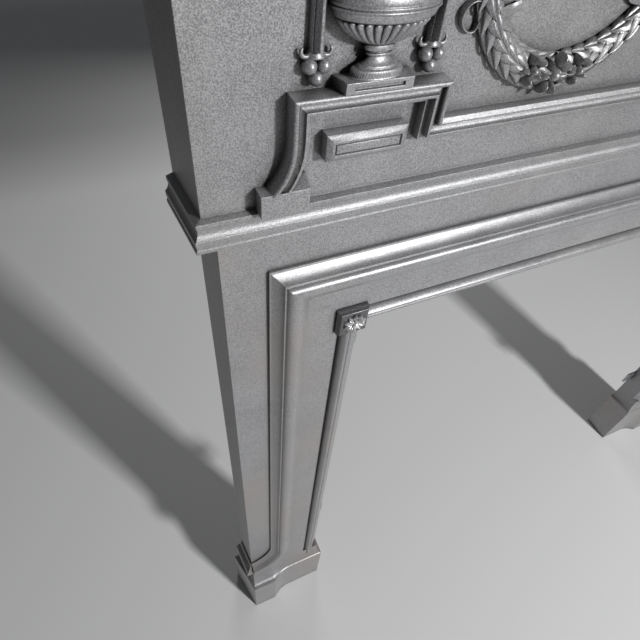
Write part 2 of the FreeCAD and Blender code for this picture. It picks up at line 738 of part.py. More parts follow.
def base_block():
    """Block under the frame's sweep, standing on the ledge, with a weathered slope on its right end."""
    x0 = ornament_x(BASE_BLOCK_L)
    x1 = ornament_x(BASE_BLOCK_R)
    front = FRIEZE_FRONT + BASE_BLOCK_OUT
    top = HEADER_TOP + BASE_BLOCK_TOP
    body = block(x0, x1, front, FRIEZE_FRONT - 2, HEADER_TOP + BASE_BLOCK_LOW, top)
    slope_top = FRIEZE_FRONT + BASE_RAMP_OUT
    back = FRIEZE_FRONT - 1
    high = top + BASE_RAMP_H
    section = [(front, top - 1), (front, top), (slope_top, high), (back, high), (back, top - 1)]
    ramp = closed_face(section, lambda p, z: at(x1 - BASE_RAMP_L, p, z)).extrude(Vec(BASE_RAMP_L, 0, 0))
    return body.fuse(ramp)


def frieze():
    """Frieze casting: front plate, mouldings and raised frame, with a flange above and lugs below behind them."""
    keep = both(return_keep())
    plate = swept_shell().cut(keep)
    inner = FRIEZE_HALF - IRON_T
    back = FRIEZE_FRONT - IRON_T
    flange = block(-inner, inner, back + 1, 0, FRIEZE_TOP - IRON_T, FRIEZE_TOP).cut(keep)
    parts = [plate, flange] + raised_frame()
    for x, p in frieze_bolt_places():
        side = FRIEZE_LUG_W / 2
        parts.append(block(x - side, x + side, back + 1, 0, HEADER_TOP, HEADER_TOP + IRON_T))
    for piece in (pedestal_tablet(), base_block()):
        parts += [piece, mirrored(piece)]
    body = join(parts)
    cuts = []
    for x, p in frieze_bolt_places():
        cuts.append(flange_hole(x, p, HEADER_TOP))
    for x, p in shelf_screw_places():
        cuts.append(flange_hole(x, p, FRIEZE_TOP))
    for x, z in return_screw_places():
        for side in (x, -x):
            cuts.append(rod(side, FRIEZE_FRONT - 2.0, back - 1.0, z, M6_R))
    for x, z in ornament_screw_places():
        cuts.append(rod(x, FRIEZE_FRONT + 20, back - 5, z, M5_R + CLEARANCE))
    return body.cut(Part.makeCompound(cuts))


def left_return():
    """Left side of the frieze with the ledge moulding and cornice carried back to the wall."""
    body = swept_shell().common(return_keep())
    back = FRIEZE_FRONT - IRON_T
    ear = block(-FRIEZE_HALF + IRON_T - 3.0, -FRIEZE_HALF + EAR_W, back, back - IRON_T,
                HEADER_TOP + EAR_END, FRIEZE_TOP - EAR_END)
    body = join([body, ear])
    for x, z in return_screw_places():
        body = body.cut(rod(x, back + 1, back - IRON_T - 1, z, M6_R + CLEARANCE))
    return body


def in_front(shape):
    """The part of a shape that stands in front of the frieze face."""
    front = FRIEZE_FRONT + REACH
    return shape.common(block(-BODY_HALF, BODY_HALF, front, FRIEZE_FRONT, HEADER_TOP, FRIEZE_TOP))


# Urn
def urn_body():
    """Turned body of the urn about the Z axis: foot, stem, band, shoulder, neck and lid."""
    face = closed_face(URN_PROFILE, lambda r, z: Vec(r, 0, z))
    return face.revolve(Vec(0, 0, 0), Vec(0, 0, 1), 360)


def gadroon_wire(radius, z):
    """Ring of round lobes about the Z axis."""
    edges = []
    step = 2 * math.pi / URN_LOBES
    swell = radius * (1.0 + 0.75 * step / 2)
    for i in range(URN_LOBES):
        a = i * step
        points = []
        for turn, r in ((a, radius), (a + step / 2, swell), (a + step, radius)):
            points.append(Vec(r * math.cos(turn), r * math.sin(turn), z))
        edges.append(Part.Arc(*points).toShape())
    return Part.Wire(edges)


def gadroons():
    """Lobed lower bowl of the urn."""
    rise = LOBE_TOP - LOBE_LOW
    wires = []
    for t in (0.0, 0.3, 0.62, 1.0):
        radius = LOBE_LOW_R + (LOBE_TOP_R - LOBE_LOW_R) * math.sin(t * math.pi / 2) ** 0.85
        wires.append(gadroon_wire(radius, LOBE_LOW + rise * t * t * (1.25 - 0.25 * t)))
    return Part.makeLoft(wires, True, True)


def left_urn():
    """Urn in high relief on its block, with ring handles at the shoulder."""
    body = urn_body().fuse(gadroons())
    squash = FreeCAD.Matrix()
    squash.scale(1.0, URN_RELIEF, 1.0)
    body = body.transformGeometry(squash)
    x = ornament_x(URN_X)
    body.translate(at(x, FRIEZE_FRONT + URN_AXIS_OUT, urn_base()))
    body = join([in_front(body), urn_block(x)] + [urn_handle(x, side) for side in (-1, 1)])
    for px, pz in urn_screw_places():
        body = body.cut(rod(px, FRIEZE_FRONT + 6.0, FRIEZE_FRONT - 1, pz, M5_R))
    return body


def urn_base():
    """Height of the top of the urn's block."""
    return HEADER_TOP + PEDESTAL_TOP + RIM_OVER + URN_BLOCK_H


def urn_block(x):
    """Splayed block under the urn, with a sunk slot along its front."""
    half = URN_BLOCK_HALF
    wide = half + URN_BLOCK_SPLAY
    front = FRIEZE_FRONT + URN_BLOCK_OUT
    top = urn_base()
    plan = [(x - wide, FRIEZE_FRONT), (x - half, front), (x + half, front), (x + wide, FRIEZE_FRONT)]
    middle = top - URN_BLOCK_H / 2
    slot = block(x - URN_SLOT_HALF, x + URN_SLOT_HALF, front + 1, front - URN_SLOT_DEPTH,
                 middle - URN_SLOT_H / 2, middle + URN_SLOT_H / 2)
    return prism_plan(plan, top - URN_BLOCK_H, top).cut(slot)


def urn_handle(x, side):
    """Ring handle between the urn's shoulder and neck."""
    centre = at(x + side * HANDLE_X, FRIEZE_FRONT + HANDLE_OUT, urn_base() + HANDLE_UP)
    return in_front(Part.makeTorus(HANDLE_R, HANDLE_TUBE, centre, Vec(0, 1, 0)))


def urn_screw_places():
    """Screws that hold the left urn from behind: X and Z."""
    x = ornament_x(URN_X)
    low = urn_base() + URN_SCREW_UP
    return [(x, low), (x, low + URN_SCREW_STEP)]


# Drops beside the urn
def drop(x):
    """Tapered ridged drop hung from a button, with a bell end and three berries."""
    z0 = HEADER_TOP + DROP_LOW
    z1 = HEADER_TOP + DROP_TOP

    def ridge(less, z):
        half = DROP_HALF - less
        top = DROP_OUT - less
        points = [(x - half, 0.0), (x - half, DROP_SIDE), (x - RIDGE_HALF, top)]
        points += [(x + RIDGE_HALF, top), (x + half, DROP_SIDE), (x + half, 0.0)]
        return closed_wire(points, lambda px, out: at(px, FRIEZE_FRONT + out, z))

    parts = [Part.makeLoft([ridge(0.0, z0), ridge(DROP_TAPER, z1)], True, True)]
    parts.append(in_front(Part.makeCone(HUSK_R, DROP_HALF, HUSK_H, at(x, FRIEZE_FRONT, z0 - HUSK_DOWN))))
    parts.append(in_front(Part.makeSphere(BUTTON_R, at(x, FRIEZE_FRONT - 2.0, z1 + BUTTON_R - 1.5))))
    for dx, dz in BERRY_PLACES:
        spot = at(x + dx * BERRY_R, FRIEZE_FRONT + BERRY_OUT, z0 + dz * BERRY_R)
        parts.append(in_front(Part.makeSphere(BERRY_R, spot)))
    body = join(parts)
    for z in drop_screw_rows():
        body = body.cut(rod(x, FRIEZE_FRONT + 4.0, FRIEZE_FRONT - 1, z, M5_R))
    return body


def drop_places():
    """X of the two drops beside the left urn."""
    x = ornament_x(URN_X)
    return [x - DROP_STEP, x + DROP_STEP]


def drop_screw_rows():
    """Heights of the drops' screws, near the foot and the top of the bar."""
    end = 14.0
    return [HEADER_TOP + DROP_LOW + end, HEADER_TOP + DROP_TOP - end]


def drop_screw_places():
    """Screws of the left urn's drops: X and Z."""
    return [(x, z) for x in drop_places() for z in drop_screw_rows()]


# Wreaths
def wreath(x):
    """Ring of the leaf wreath with ribbon loops either side of its limbs."""
    z = HEADER_TOP + WREATH_Z
    parts = [Part.makeTorus(WREATH_R, WREATH_THICK, at(x, FRIEZE_FRONT, z), Vec(0, 1, 0))]
    for side in (-1, 1):
        for past, degrees, radius in LOOPS:
            reach = WREATH_R + past
            angle = math.radians(degrees)
            spot = at(x + side * reach * math.cos(angle), FRIEZE_FRONT, z - reach * math.sin(angle))
            parts.append(Part.makeTorus(radius, LOOP_TUBE, spot, Vec(0, 1, 0)))
    body = join([in_front(part) for part in parts])
    for sx, sz in wreath_screw_places(x):
        body = body.cut(rod(sx, FRIEZE_FRONT + 5.0, FRIEZE_FRONT - 1, sz, M5_R))
    return body


def wreath_screw_places(x):
    """Screws at the top and bottom of one wreath."""
    z = HEADER_TOP + WREATH_Z
    return [(x, z - WREATH_R), (x, z + WREATH_R)]


def wreath_places():
    """X of the three wreaths."""
    x = ornament_x(WREATH_X)
    return [x, 0.0, -x]


def ornament_screw_places():
    """Every screw that comes through the frieze from behind: X and Z."""
    places = []
    for x, z in urn_screw_places() + drop_screw_places():
        places += [(x, z), (-x, z)]
    for x in wreath_places():
        places += wreath_screw_places(x)
    return places


def ornament_screw(x, z, tip):
    """Round-headed screw through the frieze from behind."""
    seat = FRIEZE_FRONT - IRON_T
    head = Part.makeCylinder(M5_R * 1.8, 3.0, at(x, seat, z), Vec(0, 1, 0))
    return head.fuse(rod(x, FRIEZE_FRONT + tip, seat, z, M5_R)).removeSplitter()


# Corner rosettes
def petal(x, z, number):
    """Pointed petal of the rosette: a low four-sided pyramid on the block's front."""
    step = math.pi / PETALS
    turn = 2 * step * number
    base = ROSETTE_TOP - 1.0

    def spot(radius, aside, p):
        return at(x + radius * math.cos(turn + aside), p, z + radius * math.sin(turn + aside))

    corners = [spot(1.0, 0.0, base), spot(0.7 * PETAL_R, -1.1 * step, base), spot(PETAL_R, 0.0, base),
               spot(0.7 * PETAL_R, 1.1 * step, base)]
    tip = spot(0.6 * PETAL_R, 0.0, ROSETTE_TOP + PETAL_OUT)
    faces = [Part.Face(Part.makePolygon(corners + corners[:1]))]
    for first, second in zip(corners, corners[1:] + corners[:1]):
        faces.append(Part.Face(Part.makePolygon([first, second, tip, first])))
    solid = Part.makeSolid(Part.makeShell(faces))
    if solid.Volume < 0:
        solid.reverse()
    return solid


def left_rosette():
    """Bevelled corner block with a flower of pointed petals, screwed on from behind over the mitre."""
    x, z = rosette_centre()

    def square(half, p):
        points = [(x - half, z - half), (x + half, z - half), (x + half, z + half), (x - half, z + half)]
        return closed_wire(points, lambda px, pz: at(px, p, pz))

    top = ROSETTE_TOP
    rings = [square(ROSETTE_HALF, ROSETTE_SEAT), square(ROSETTE_HALF, top - ROSETTE_EDGE)]
    rings.append(square(ROSETTE_HALF - ROSETTE_BEVEL, top))
    parts = [Part.makeLoft(rings, True, True)]
    parts += [petal(x, z, number) for number in range(PETALS)]
    boss = at(x, top - 1.0, z)
    parts.append(Part.makeCone(PETAL_BOSS_R, PETAL_BOSS_R / 2, PETAL_BOSS_OUT + 1.0, boss, Vec(0, -1, 0)))
    body = join(parts)
    for sx, sz in rosette_screw_places():
        body = body.cut(rod(sx, ROSETTE_SEAT + 6.0, ROSETTE_SEAT - 1, sz, M5_R))
    return body


def rosette_screw(x, z):
    """Screw from behind the lip into the corner rosette."""
    seat = LEG_DEPTH - 2.0
    head = Part.makeCylinder(M5_R * 1.8, 3.0, at(x, seat, z), Vec(0, 1, 0))
    return head.fuse(rod(x, ROSETTE_SEAT + 6.0, seat, z, M5_R)).removeSplitter()


# Shelf
def shelf():
    """Mantel shelf: thin plate with a moulded rim round the front and both ends."""
    half = SHELF_LENGTH / 2
    rim = [
        (-SHELF_RIM, 0.0),
        (-3.0, 0.0),
        (-0.9, -0.9, 0.0, -3.0),
        (0.0, -9.0),
        (-2.0, -14.0, -SHELF_RIM / 2, -16.5),
        (-SHELF_RIM / 2, -2 * SHELF_T),
        (-SHELF_RIM, -2 * SHELF_T),
    ]
    path = Part.makePolygon([at(-half, 0, SHELF_TOP), at(-half, SHELF_DEPTH, SHELF_TOP),
                             at(half, SHELF_DEPTH, SHELF_TOP), at(half, 0, SHELF_TOP)])
    wire = closed_wire(rim, lambda out, z: at(-half - out, 0, SHELF_TOP + z))
    edge = path.makePipeShell([wire], True, False, 1)
    inner = SHELF_RIM - 4.0
    plate = block(-half + inner, half - inner, SHELF_DEPTH - inner, 0, FRIEZE_TOP, SHELF_TOP)
    body = join([plate, edge])
    for x, p in shelf_screw_places():
        body = body.cut(Part.makeCylinder(M8_R, SHELF_T - 2.0, at(x, p, FRIEZE_TOP)))
    return body


# Fixings
def washer(x, p, z):
    """Flat washer lying at a height."""
    disc = Part.makeCylinder(M8_R * 2, WASHER_T, at(x, p, z))
    return disc.cut(Part.makeCylinder(M8_R + CLEARANCE, WASHER_T, at(x, p, z)))


def frieze_bolt(x, p):
    """Bolt down through the two flanges, head up inside the frieze."""
    seat = HEADER_TOP + IRON_T + WASHER_T
    head = hex_prism(M8_R * 1.62, BOLT_HEAD_H, at(x, p, seat), Vec(0, 0, 1))
    shank = Part.makeCylinder(M8_R, BOLT_LENGTH, at(x, p, seat - BOLT_LENGTH))
    return head.fuse(shank).removeSplitter()


def frieze_nut(x, p):
    """Nut under the header's flange."""
    top = HEADER_TOP - IRON_T - WASHER_T
    base = at(x, p, top - NUT_H)
    return hex_prism(M8_R * 1.62, NUT_H, base, Vec(0, 0, 1)).cut(Part.makeCylinder(M8_R, NUT_H, base))


def shelf_screw(x, p):
    """Screw up through the frieze's top flange into the shelf."""
    seat = FRIEZE_TOP - IRON_T - WASHER_T
    head = hex_prism(M8_R * 1.62, BOLT_HEAD_H, at(x, p, seat - BOLT_HEAD_H), Vec(0, 0, 1))
    shank = Part.makeCylinder(M8_R, FRIEZE_TOP + SHELF_T - 3.0 - seat, at(x, p, seat))
    return head.fuse(shank).removeSplitter()


def left_corner_plate():
    """L-shaped plate across the mitre behind the panel."""
    places = corner_plate_places()
    half = CORNER_PLATE_W / 2
    x0 = places[0][0] - half
    x1 = places[0][0] + half
    z0 = places[2][1] - half
    z1 = places[2][1] + half
    end_x = places[3][0] + CORNER_PLATE_END
    end_z = places[0][1] - CORNER_PLATE_END
    points = [(x0, z1), (end_x, z1), (end_x, z0), (x1, z0), (x1, end_z), (x0, end_z)]
    plate = prism_front(points, CORNER_SEAT, CORNER_SEAT - CORNER_PLATE_T)
    for x, z in places:
        plate = plate.cut(rod(x, CORNER_SEAT + 1, CORNER_SEAT - 10, z, M6_R + CLEARANCE))
    return plate


def wall_lug(z):
    """Strap behind the leg's inner edge with a hole for a wall screw."""
    inner = lug_screw_place() - 9.0
    lug = block(inner, -OPENING_W / 2 + LUG_REACH, LUG_T, 0.0, z - LUG_W / 2, z + LUG_W / 2)
    lug = lug.cut(rod(-OPENING_W / 2 + LUG_HOLE_IN, LUG_T + 1, -1, z, LUG_HOLE_R))
    hole = Part.makeCone(M6_R * 2, M6_R, 3.0, at(lug_screw_place(), 0.0, z), Vec(0, -1, 0))
    return lug.cut(hole).cut(rod(lug_screw_place(), LUG_T + 1, -1, z, M6_R))


def lug_screw(z):
    """Countersunk screw that holds a lug to the leg."""
    head = Part.makeCone(M6_R * 2, M6_R, 3.0, at(lug_screw_place(), 0.0, z), Vec(0, -1, 0))
    return head.fuse(rod(lug_screw_place(), LUG_BOSS - 4.0, 0.0, z, M6_R)).removeSplitter()


def save(name, shape):
    """Write one node."""
    shape.exportStep("parts/" + name + ".step")


def group(shapes):
    """Several like pieces in one node."""
    return Part.makeCompound(shapes)


def mirrored_pairs(places):
    """Places on the left half and their mirror images."""
    return [(x, z) for x, z in places] + [(-x, z) for x, z in places]


os.makedirs("parts", exist_ok=True)
leg = left_leg()
save("left_leg", leg)
save("right_leg", mirrored(leg))
save("header", header())
save("frieze", frieze())
side = left_return()
save("left_frieze_return", side)
save("right_frieze_return", mirrored(side))
save("shelf", shelf())
urn = left_urn()
save("left_urn", urn)
save("right_urn", mirrored(urn))
drops = group([drop(x) for x in drop_places()])
save("left_urn_drops", drops)
save("right_urn_drops", mirrored(drops))
for name, x in zip(("left_wreath", "centre_wreath", "right_wreath"), wreath_places()):
    save(name, wreath(x))
rosette = left_rosette()
save("left_corner_rosette", rosette)
save("right_corner_rosette", mirrored(rosette))
save("rosette_screws", group([rosette_screw(x, z) for x, z in mirrored_pairs(rosette_screw_places())]))
plate = left_corner_plate()
save("left_corner_plate", plate)
save("right_corner_plate", mirrored(plate))
seat = CORNER_SEAT - CORNER_PLATE_T
save("corner_plate_screws",
     group([set_screw(x, seat, CORNER_TIP - 0.5, z, M6_R) for x, z in mirrored_pairs(corner_plate_places())]))
save("frieze_bolts", group([frieze_bolt(x, p) for x, p in frieze_bolt_places()]))
save("frieze_nuts", group([frieze_nut(x, p) for x, p in frieze_bolt_places()]))
save("frieze_upper_washers", group([washer(x, p, HEADER_TOP + IRON_T) for x, p in frieze_bolt_places()]))
save("frieze_lower_washers",
     group([washer(x, p, HEADER_TOP - IRON_T - WASHER_T) for x, p in frieze_bolt_places()]))
ear_back = FRIEZE_FRONT - 2 * IRON_T
ear_tip = FRIEZE_FRONT - 2.5
save("return_screws",
     group([set_screw(x, ear_back, ear_tip, z, M6_R) for x, z in mirrored_pairs(return_screw_places())]))
save("shelf_screws", group([shelf_screw(x, p) for x, p in shelf_screw_places()]))
save("shelf_washers",
     group([washer(x, p, FRIEZE_TOP - IRON_T - WASHER_T) for x, p in shelf_screw_places()]))
save("urn_screws", group([ornament_screw(x, z, 5.5) for x, z in mirrored_pairs(urn_screw_places())]))
save("drop_screws", group([ornament_screw(x, z, 3.5) for x, z in mirrored_pairs(drop_screw_places())]))
wreath_screws = [place for x in wreath_places() for place in wreath_screw_places(x)]
save("wreath_screws", group([ornament_screw(x, z, 4.5) for x, z in wreath_screws]))
lugs = [wall_lug(z) for z in LUG_ROWS]
save("wall_lugs", group(lugs + [mirrored(lug) for lug in lugs]))
lug_screws = [lug_screw(z) for z in LUG_ROWS]
save("lug_screws", group(lug_screws + [mirrored(screw) for screw in lug_screws]))
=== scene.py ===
import json
import math

import bmesh
import bpy
import numpy as np
from mathutils import Matrix, Vector


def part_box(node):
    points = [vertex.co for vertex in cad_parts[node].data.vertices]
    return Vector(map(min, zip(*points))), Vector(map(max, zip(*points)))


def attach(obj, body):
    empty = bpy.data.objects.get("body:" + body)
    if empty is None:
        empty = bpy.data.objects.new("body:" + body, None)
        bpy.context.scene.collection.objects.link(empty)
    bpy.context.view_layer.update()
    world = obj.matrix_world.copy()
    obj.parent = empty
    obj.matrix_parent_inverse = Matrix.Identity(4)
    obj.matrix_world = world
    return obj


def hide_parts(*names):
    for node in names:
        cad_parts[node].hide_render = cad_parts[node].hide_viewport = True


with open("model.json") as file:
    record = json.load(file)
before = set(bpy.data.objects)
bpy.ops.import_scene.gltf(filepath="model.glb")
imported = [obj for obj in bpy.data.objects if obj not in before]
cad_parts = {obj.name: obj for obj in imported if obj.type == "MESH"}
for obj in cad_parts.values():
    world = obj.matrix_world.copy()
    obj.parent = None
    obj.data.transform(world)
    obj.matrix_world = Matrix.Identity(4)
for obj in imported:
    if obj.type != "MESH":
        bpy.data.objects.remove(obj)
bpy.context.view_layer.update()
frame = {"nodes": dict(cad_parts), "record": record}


# Legs. Each is one hollow casting in grey iron, mitred to the header and standing on a plinth that is
# hollowed in plan. Graphite polish leaves a dark satin sheen, with the sandy grain of the mould showing
# through it and bare metal along the arrises.
MM = 0.001
GRAPHITE_DARK = (0.20, 0.20, 0.207, 1.0)
GRAPHITE_LIGHT = (0.45, 0.45, 0.46, 1.0)
GRAPHITE_WARM = (0.36, 0.325, 0.30, 1.0)
BARE_IRON = (0.66, 0.66, 0.66, 1.0)
# Near black that the occlusion mask mixes into corners and hollows: painted shade.
PAINTED_CORNER_SHADE = (0.03, 0.029, 0.028, 1.0)
IRON_METALLIC = 0.45
# Cells of the iron's patterns in millimetres, from the slow warm cast to the grains of sand.
WARM_CELL = 170.0
PATCH_CELL = 34.0
SPECK_CELL = 11.0
LUMP_CELL = 9.0
GRIT_CELL = 1.8
SAND_CELL = 0.95


class Shade:
    """One output of a material's nodes. Plain arithmetic on it adds Math nodes to the material."""

    def __init__(self, tree, socket=None):
        self.tree = tree
        self.socket = socket

    def node(self, kind, inputs, output=0, **settings):
        """Add a node: its settings first, then a value or a link for each named input."""
        made = self.tree.nodes.new(kind)
        for name, value in settings.items():
            setattr(made, name, value)
        for name, value in inputs.items():
            if isinstance(value, Shade):
                self.tree.links.new(value.socket, made.inputs[name])
            else:
                made.inputs[name].default_value = value
        return Shade(self.tree, made.outputs[output])

    def math(self, operation, first, second):
        """Math node on two values."""
        return self.node("ShaderNodeMath", {0: first, 1: second}, operation=operation)

    def __add__(self, other):
        return self.math("ADD", self, other)

    def __radd__(self, other):
        return self.math("ADD", other, self)

    def __sub__(self, other):
        return self.math("SUBTRACT", self, other)

    def __rsub__(self, other):
        return self.math("SUBTRACT", other, self)

    def __mul__(self, other):
        return self.math("MULTIPLY", self, other)

    def __rmul__(self, other):
        return self.math("MULTIPLY", other, self)

    def noise(self, cell, detail=2.0, rough=0.5):
        """Noise read at this place, in cells of about a given number of millimetres."""
        inputs = {"Vector": self, "Scale": 1 / (cell * MM), "Detail": detail, "Roughness": rough}
        return self.node("ShaderNodeTexNoise", inputs)

    def scatter(self, cell):
        """Distance from this place to the nearest of points scattered one to a cell, sized as for noise."""
        return self.node("ShaderNodeTexVoronoi", {"Vector": self, "Scale": 1 / (cell * MM)})

    def between(self, low, high):
        """Smooth step from 0 at the low value to 1 at the high one."""
        inputs = {"Value": self, "From Min": low, "From Max": high}
        return self.node("ShaderNodeMapRange", inputs, interpolation_type="SMOOTHSTEP")

    def mix(self, first, second):
        """Colour between two, by this factor."""
        return self.node("ShaderNodeMix", {0: self, 6: first, 7: second}, output=2, data_type="RGBA")

    def bump(self, normal, strength, depth):
        """The normal, tilted as a surface of this height would be, over a depth in millimetres."""
        inputs = {"Height": self, "Normal": normal, "Strength": strength, "Distance": depth * MM}
        return self.node("ShaderNodeBump", inputs)


def new_metal(name):
    """New material: returns it with a Shade to add nodes with, and the place on the object."""
    finish = bpy.data.materials.new(name)
    finish.use_nodes = True
    shade = Shade(finish.node_tree)
    return finish, shade, shade.node("ShaderNodeTexCoord", {}, output="Object")


def linked_metal(finish, metallic, colour, rough, normal):
    """The material with its share of metal set and its colour, roughness and normal linked."""
    shader = finish.node_tree.nodes["Principled BSDF"]
    shader.inputs["Metallic"].default_value = metallic
    for name, value in (("Base Color", colour), ("Roughness", rough), ("Normal", normal)):
        finish.node_tree.links.new(value.socket, shader.inputs[name])
    return finish


def edge_and_corner(shade, edge_radius, corner_reach, open_share=0.85):
    """Normal rounded at the edges, how far it turns from the face there, and how shut in a corner is.

    A corner counts as shut in where less than the open share of the view from it is clear within the reach.
    """
    rounded = shade.node("ShaderNodeBevel", {"Radius": edge_radius * MM}, samples=6)
    face = shade.node("ShaderNodeNewGeometry", {}, output="Normal")
    both = {0: rounded, 1: face}
    turn = shade.node("ShaderNodeVectorMath", both, output="Value", operation="DOT_PRODUCT")
    reach = {"Distance": corner_reach * MM}
    open_sky = shade.node("ShaderNodeAmbientOcclusion", reach, output="AO", samples=6)
    return rounded, (1 - turn).between(0.01, 0.16), 1 - open_sky.between(0.25, open_share)


def iron_finish(name, sheen, grain, warmth, hollow=7.0):
    """Graphite-polished cast iron.

    Sandy grains of about a millimetre mix two greys, with slower patches under them and a slow warm cast.
    Bare metal shows where a rounded edge turns away from its face, and near-black painted shade is mixed in
    where near surfaces, within the reach given as hollow, shut out the light. The bump is the same sand and
    a few specks over soft lumps.
    """
    finish, shade, place = new_metal(name)
    rounded, edge, corner = edge_and_corner(shade, edge_radius=0.6, corner_reach=hollow, open_share=0.92)
    patch = place.noise(PATCH_CELL, detail=3.0)
    grit = place.noise(GRIT_CELL, rough=0.6)
    sand = place.noise(SAND_CELL, detail=3.0, rough=0.8)
    speck = 1 - place.scatter(SPECK_CELL).between(0.04, 0.09)
    worn = edge * (0.35 + grit) * (1 - corner)
    grains = 0.10 * patch + 0.08 * grit + 0.82 * sand
    greys = grains.between(0.37, 0.63).mix(GRAPHITE_DARK, GRAPHITE_LIGHT)
    warm = place.noise(WARM_CELL).between(0.42, 0.66)
    tinted = (warmth * warm).mix(greys, GRAPHITE_WARM)
    worn_through = (0.4 * worn).mix(tinted, BARE_IRON)
    # Painted shade: near black mixed in where the occlusion mask finds a corner or hollow.
    colour = (0.88 * corner).mix(worn_through, PAINTED_CORNER_SHADE)
    rough = sheen + 0.12 * (patch - 0.5) + 0.1 * (grit - 0.5) + 0.2 * corner - 0.08 * worn
    lumpy = place.noise(LUMP_CELL).bump(rounded, strength=0.16, depth=1.0)
    sandy = (0.85 * sand + 0.15 * grit + 0.4 * speck).bump(lumpy, strength=grain, depth=0.5)
    return linked_metal(finish, IRON_METALLIC, colour, rough, sandy)


def dress(node, finish):
    """Give a carried-over casting its finish."""
    mesh = frame["nodes"][node].data
    mesh.materials.clear()
    mesh.materials.append(finish)


# The long hollow reach spreads painted shade over the hollows and groove of the leg's mouldings.
leg_iron = iron_finish("leg_iron", sheen=0.36, grain=0.30, warmth=0.55, hollow=15.0)
for side in ("left", "right"):
    dress(side + "_leg", leg_iron)

# Mouldings of the legs, in the legs' own iron. The bolection's hollow, fillet and roll stand higher than the
# plain casting under them, follow its turn at the foot and meet the header's at a mitre. The lip beside the
# opening has a steep outer face.
LEG_OUTER_X = -592.0
LEG_FACE_Y = 25.0
FLAT_W = 38.0
MITRE_TOP_Z = 960.0
TURN_X = LEG_OUTER_X - 14.0
TURN_Z = 264.0
TURN_ROWS = 19
LIP_FOOT_Z = 150.0
# Each profile's points: inset from the flat's inner edge, and height above the flat.
BOLECTION_STEP = [(-0.15, -1.0), (-0.15, 3.4)]
HOLLOW = [(0.8, 3.6), (3.2, 5.2), (5.4, 7.0), (7.4, 9.0), (9.0, 11.2), (9.9, 13.0)]
ROLL = [
    (11.4, 13.2), (12.0, 14.6), (13.4, 16.4), (15.6, 17.7), (18.4, 18.3), (21.2, 18.2), (24.2, 17.2),
    (27.4, 15.2), (30.4, 12.6), (33.2, 10.7),
]
QUIRKS = [(33.4, 9.9), (37.4, 9.9), (37.6, 8.9), (40.4, 8.9), (40.5, 8.6)]
BOLECTION_BACK = [(40.0, 4.0), (20.0, 4.0), (2.0, 0.0), (0.3, -2.0)]
LIP = [
    (69.4, 4.0), (69.5, 4.7), (75.3, 11.0), (76.6, 11.8), (78.6, 11.6), (97.05, -4.0), (90.0, -4.0),
    (76.0, 3.0),
]
MERGE_DISTANCE = 0.002
SHARP_ANGLE = 40.0


def soft_line(points, steps):
    """Smooth curve through points: between two, the cubic whose end slopes follow their neighbours."""
    knots = np.array(points, float)
    knots = np.concatenate([2 * knots[:1] - knots[1:2], knots, 2 * knots[-1:] - knots[-2:-1]])
    spans = len(knots) - 3
    before, start, end, after = (knots[i:i + spans, None] for i in range(4))
    t = np.linspace(0, 1, steps, endpoint=False)[None, :, None]
    slope = (end - before) * t
    bend = (2 * before - 5 * start + 4 * end - after) * t ** 2
    twist = (3 * start - before - 3 * end + after) * t ** 3
    curve = start + (slope + bend + twist) / 2
    return np.concatenate([curve.reshape(-1, knots.shape[1]), knots[-2:-1]])


def mirrored(grids):
    """The same grids on the other side of the centre line."""
    return [grid * (-1, 1, 1) for grid in grids]


def casting(name, grids, finish, node=None):
    """One mesh, which stands for a CAD node where one is named.

    Each grid is rows of points: a row is a closed loop, and joins the next row. Doubled points are merged
    and the faces turned outward.
    """
    points = []
    faces = []
    count = 0
    for grid in grids:
        rows, columns = grid.shape[:2]
        corner = np.arange(rows - 1)[:, None] * columns + np.arange(columns)
        beside = np.arange(rows - 1)[:, None] * columns + (np.arange(columns) + 1) % columns
        quads = np.stack([corner, beside, beside + columns, corner + columns], axis=-1)
        points.append(grid.reshape(-1, 3))
        faces.append(quads.reshape(-1, 4) + count)
        count += rows * columns
    mesh = bpy.data.meshes.new(name)
    mesh.from_pydata(np.concatenate(points).tolist(), [], np.concatenate(faces).tolist())
    work = bmesh.new()
    work.from_mesh(mesh)
    bmesh.ops.remove_doubles(work, verts=work.verts, dist=MERGE_DISTANCE * MM)
    bmesh.ops.recalc_face_normals(work, faces=work.faces)
    work.to_mesh(mesh)
    work.free()
    mesh.shade_smooth()
    mesh.set_sharp_from_angle(angle=math.radians(SHARP_ANGLE))
    mesh.materials.append(finish)
    piece = bpy.data.objects.new(name, mesh)
    bpy.context.scene.collection.objects.link(piece)
    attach(piece, "root")
    if node:
        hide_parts(node)
    return piece


def moulding_point(across, out, along):
    """Points on a moulding from X, height above the leg's flat and Z, in millimetres."""
    across, out, along = np.broadcast_arrays(across, out, along)
    return np.stack([across, LEG_FACE_Y - out, along], axis=-1) * MM


def ends_closed(grid):
    """The same rows with a point at the middle of each end, so that both ends are closed."""
    first = 0 * grid[:1] + grid[0].mean(axis=0)
    last = 0 * grid[-1:] + grid[-1].mean(axis=0)
    return np.concatenate([first, grid, last])


def leg_bolection(profile):
    """Profile carried from the leg's side round an arc on to the leg, and straight up to the mitre.

    The arc's radius is the distance from its centre to each point of the profile, and each point starts
    where its own arc crosses the leg's side.
    """
    inset, out = profile[:, 0], profile[:, 1]
    radius = LEG_OUTER_X + FLAT_W - TURN_X + inset
    angle = np.linspace(1, 0, TURN_ROWS)[:, None] * np.arccos((LEG_OUTER_X - TURN_X) / radius)
    turned = moulding_point(TURN_X + radius * np.cos(angle), out, TURN_Z - radius * np.sin(angle))
    mitre = moulding_point(LEG_OUTER_X + FLAT_W + inset, out, MITRE_TOP_Z - inset)
    return ends_closed(np.concatenate([turned, mitre[None]]))


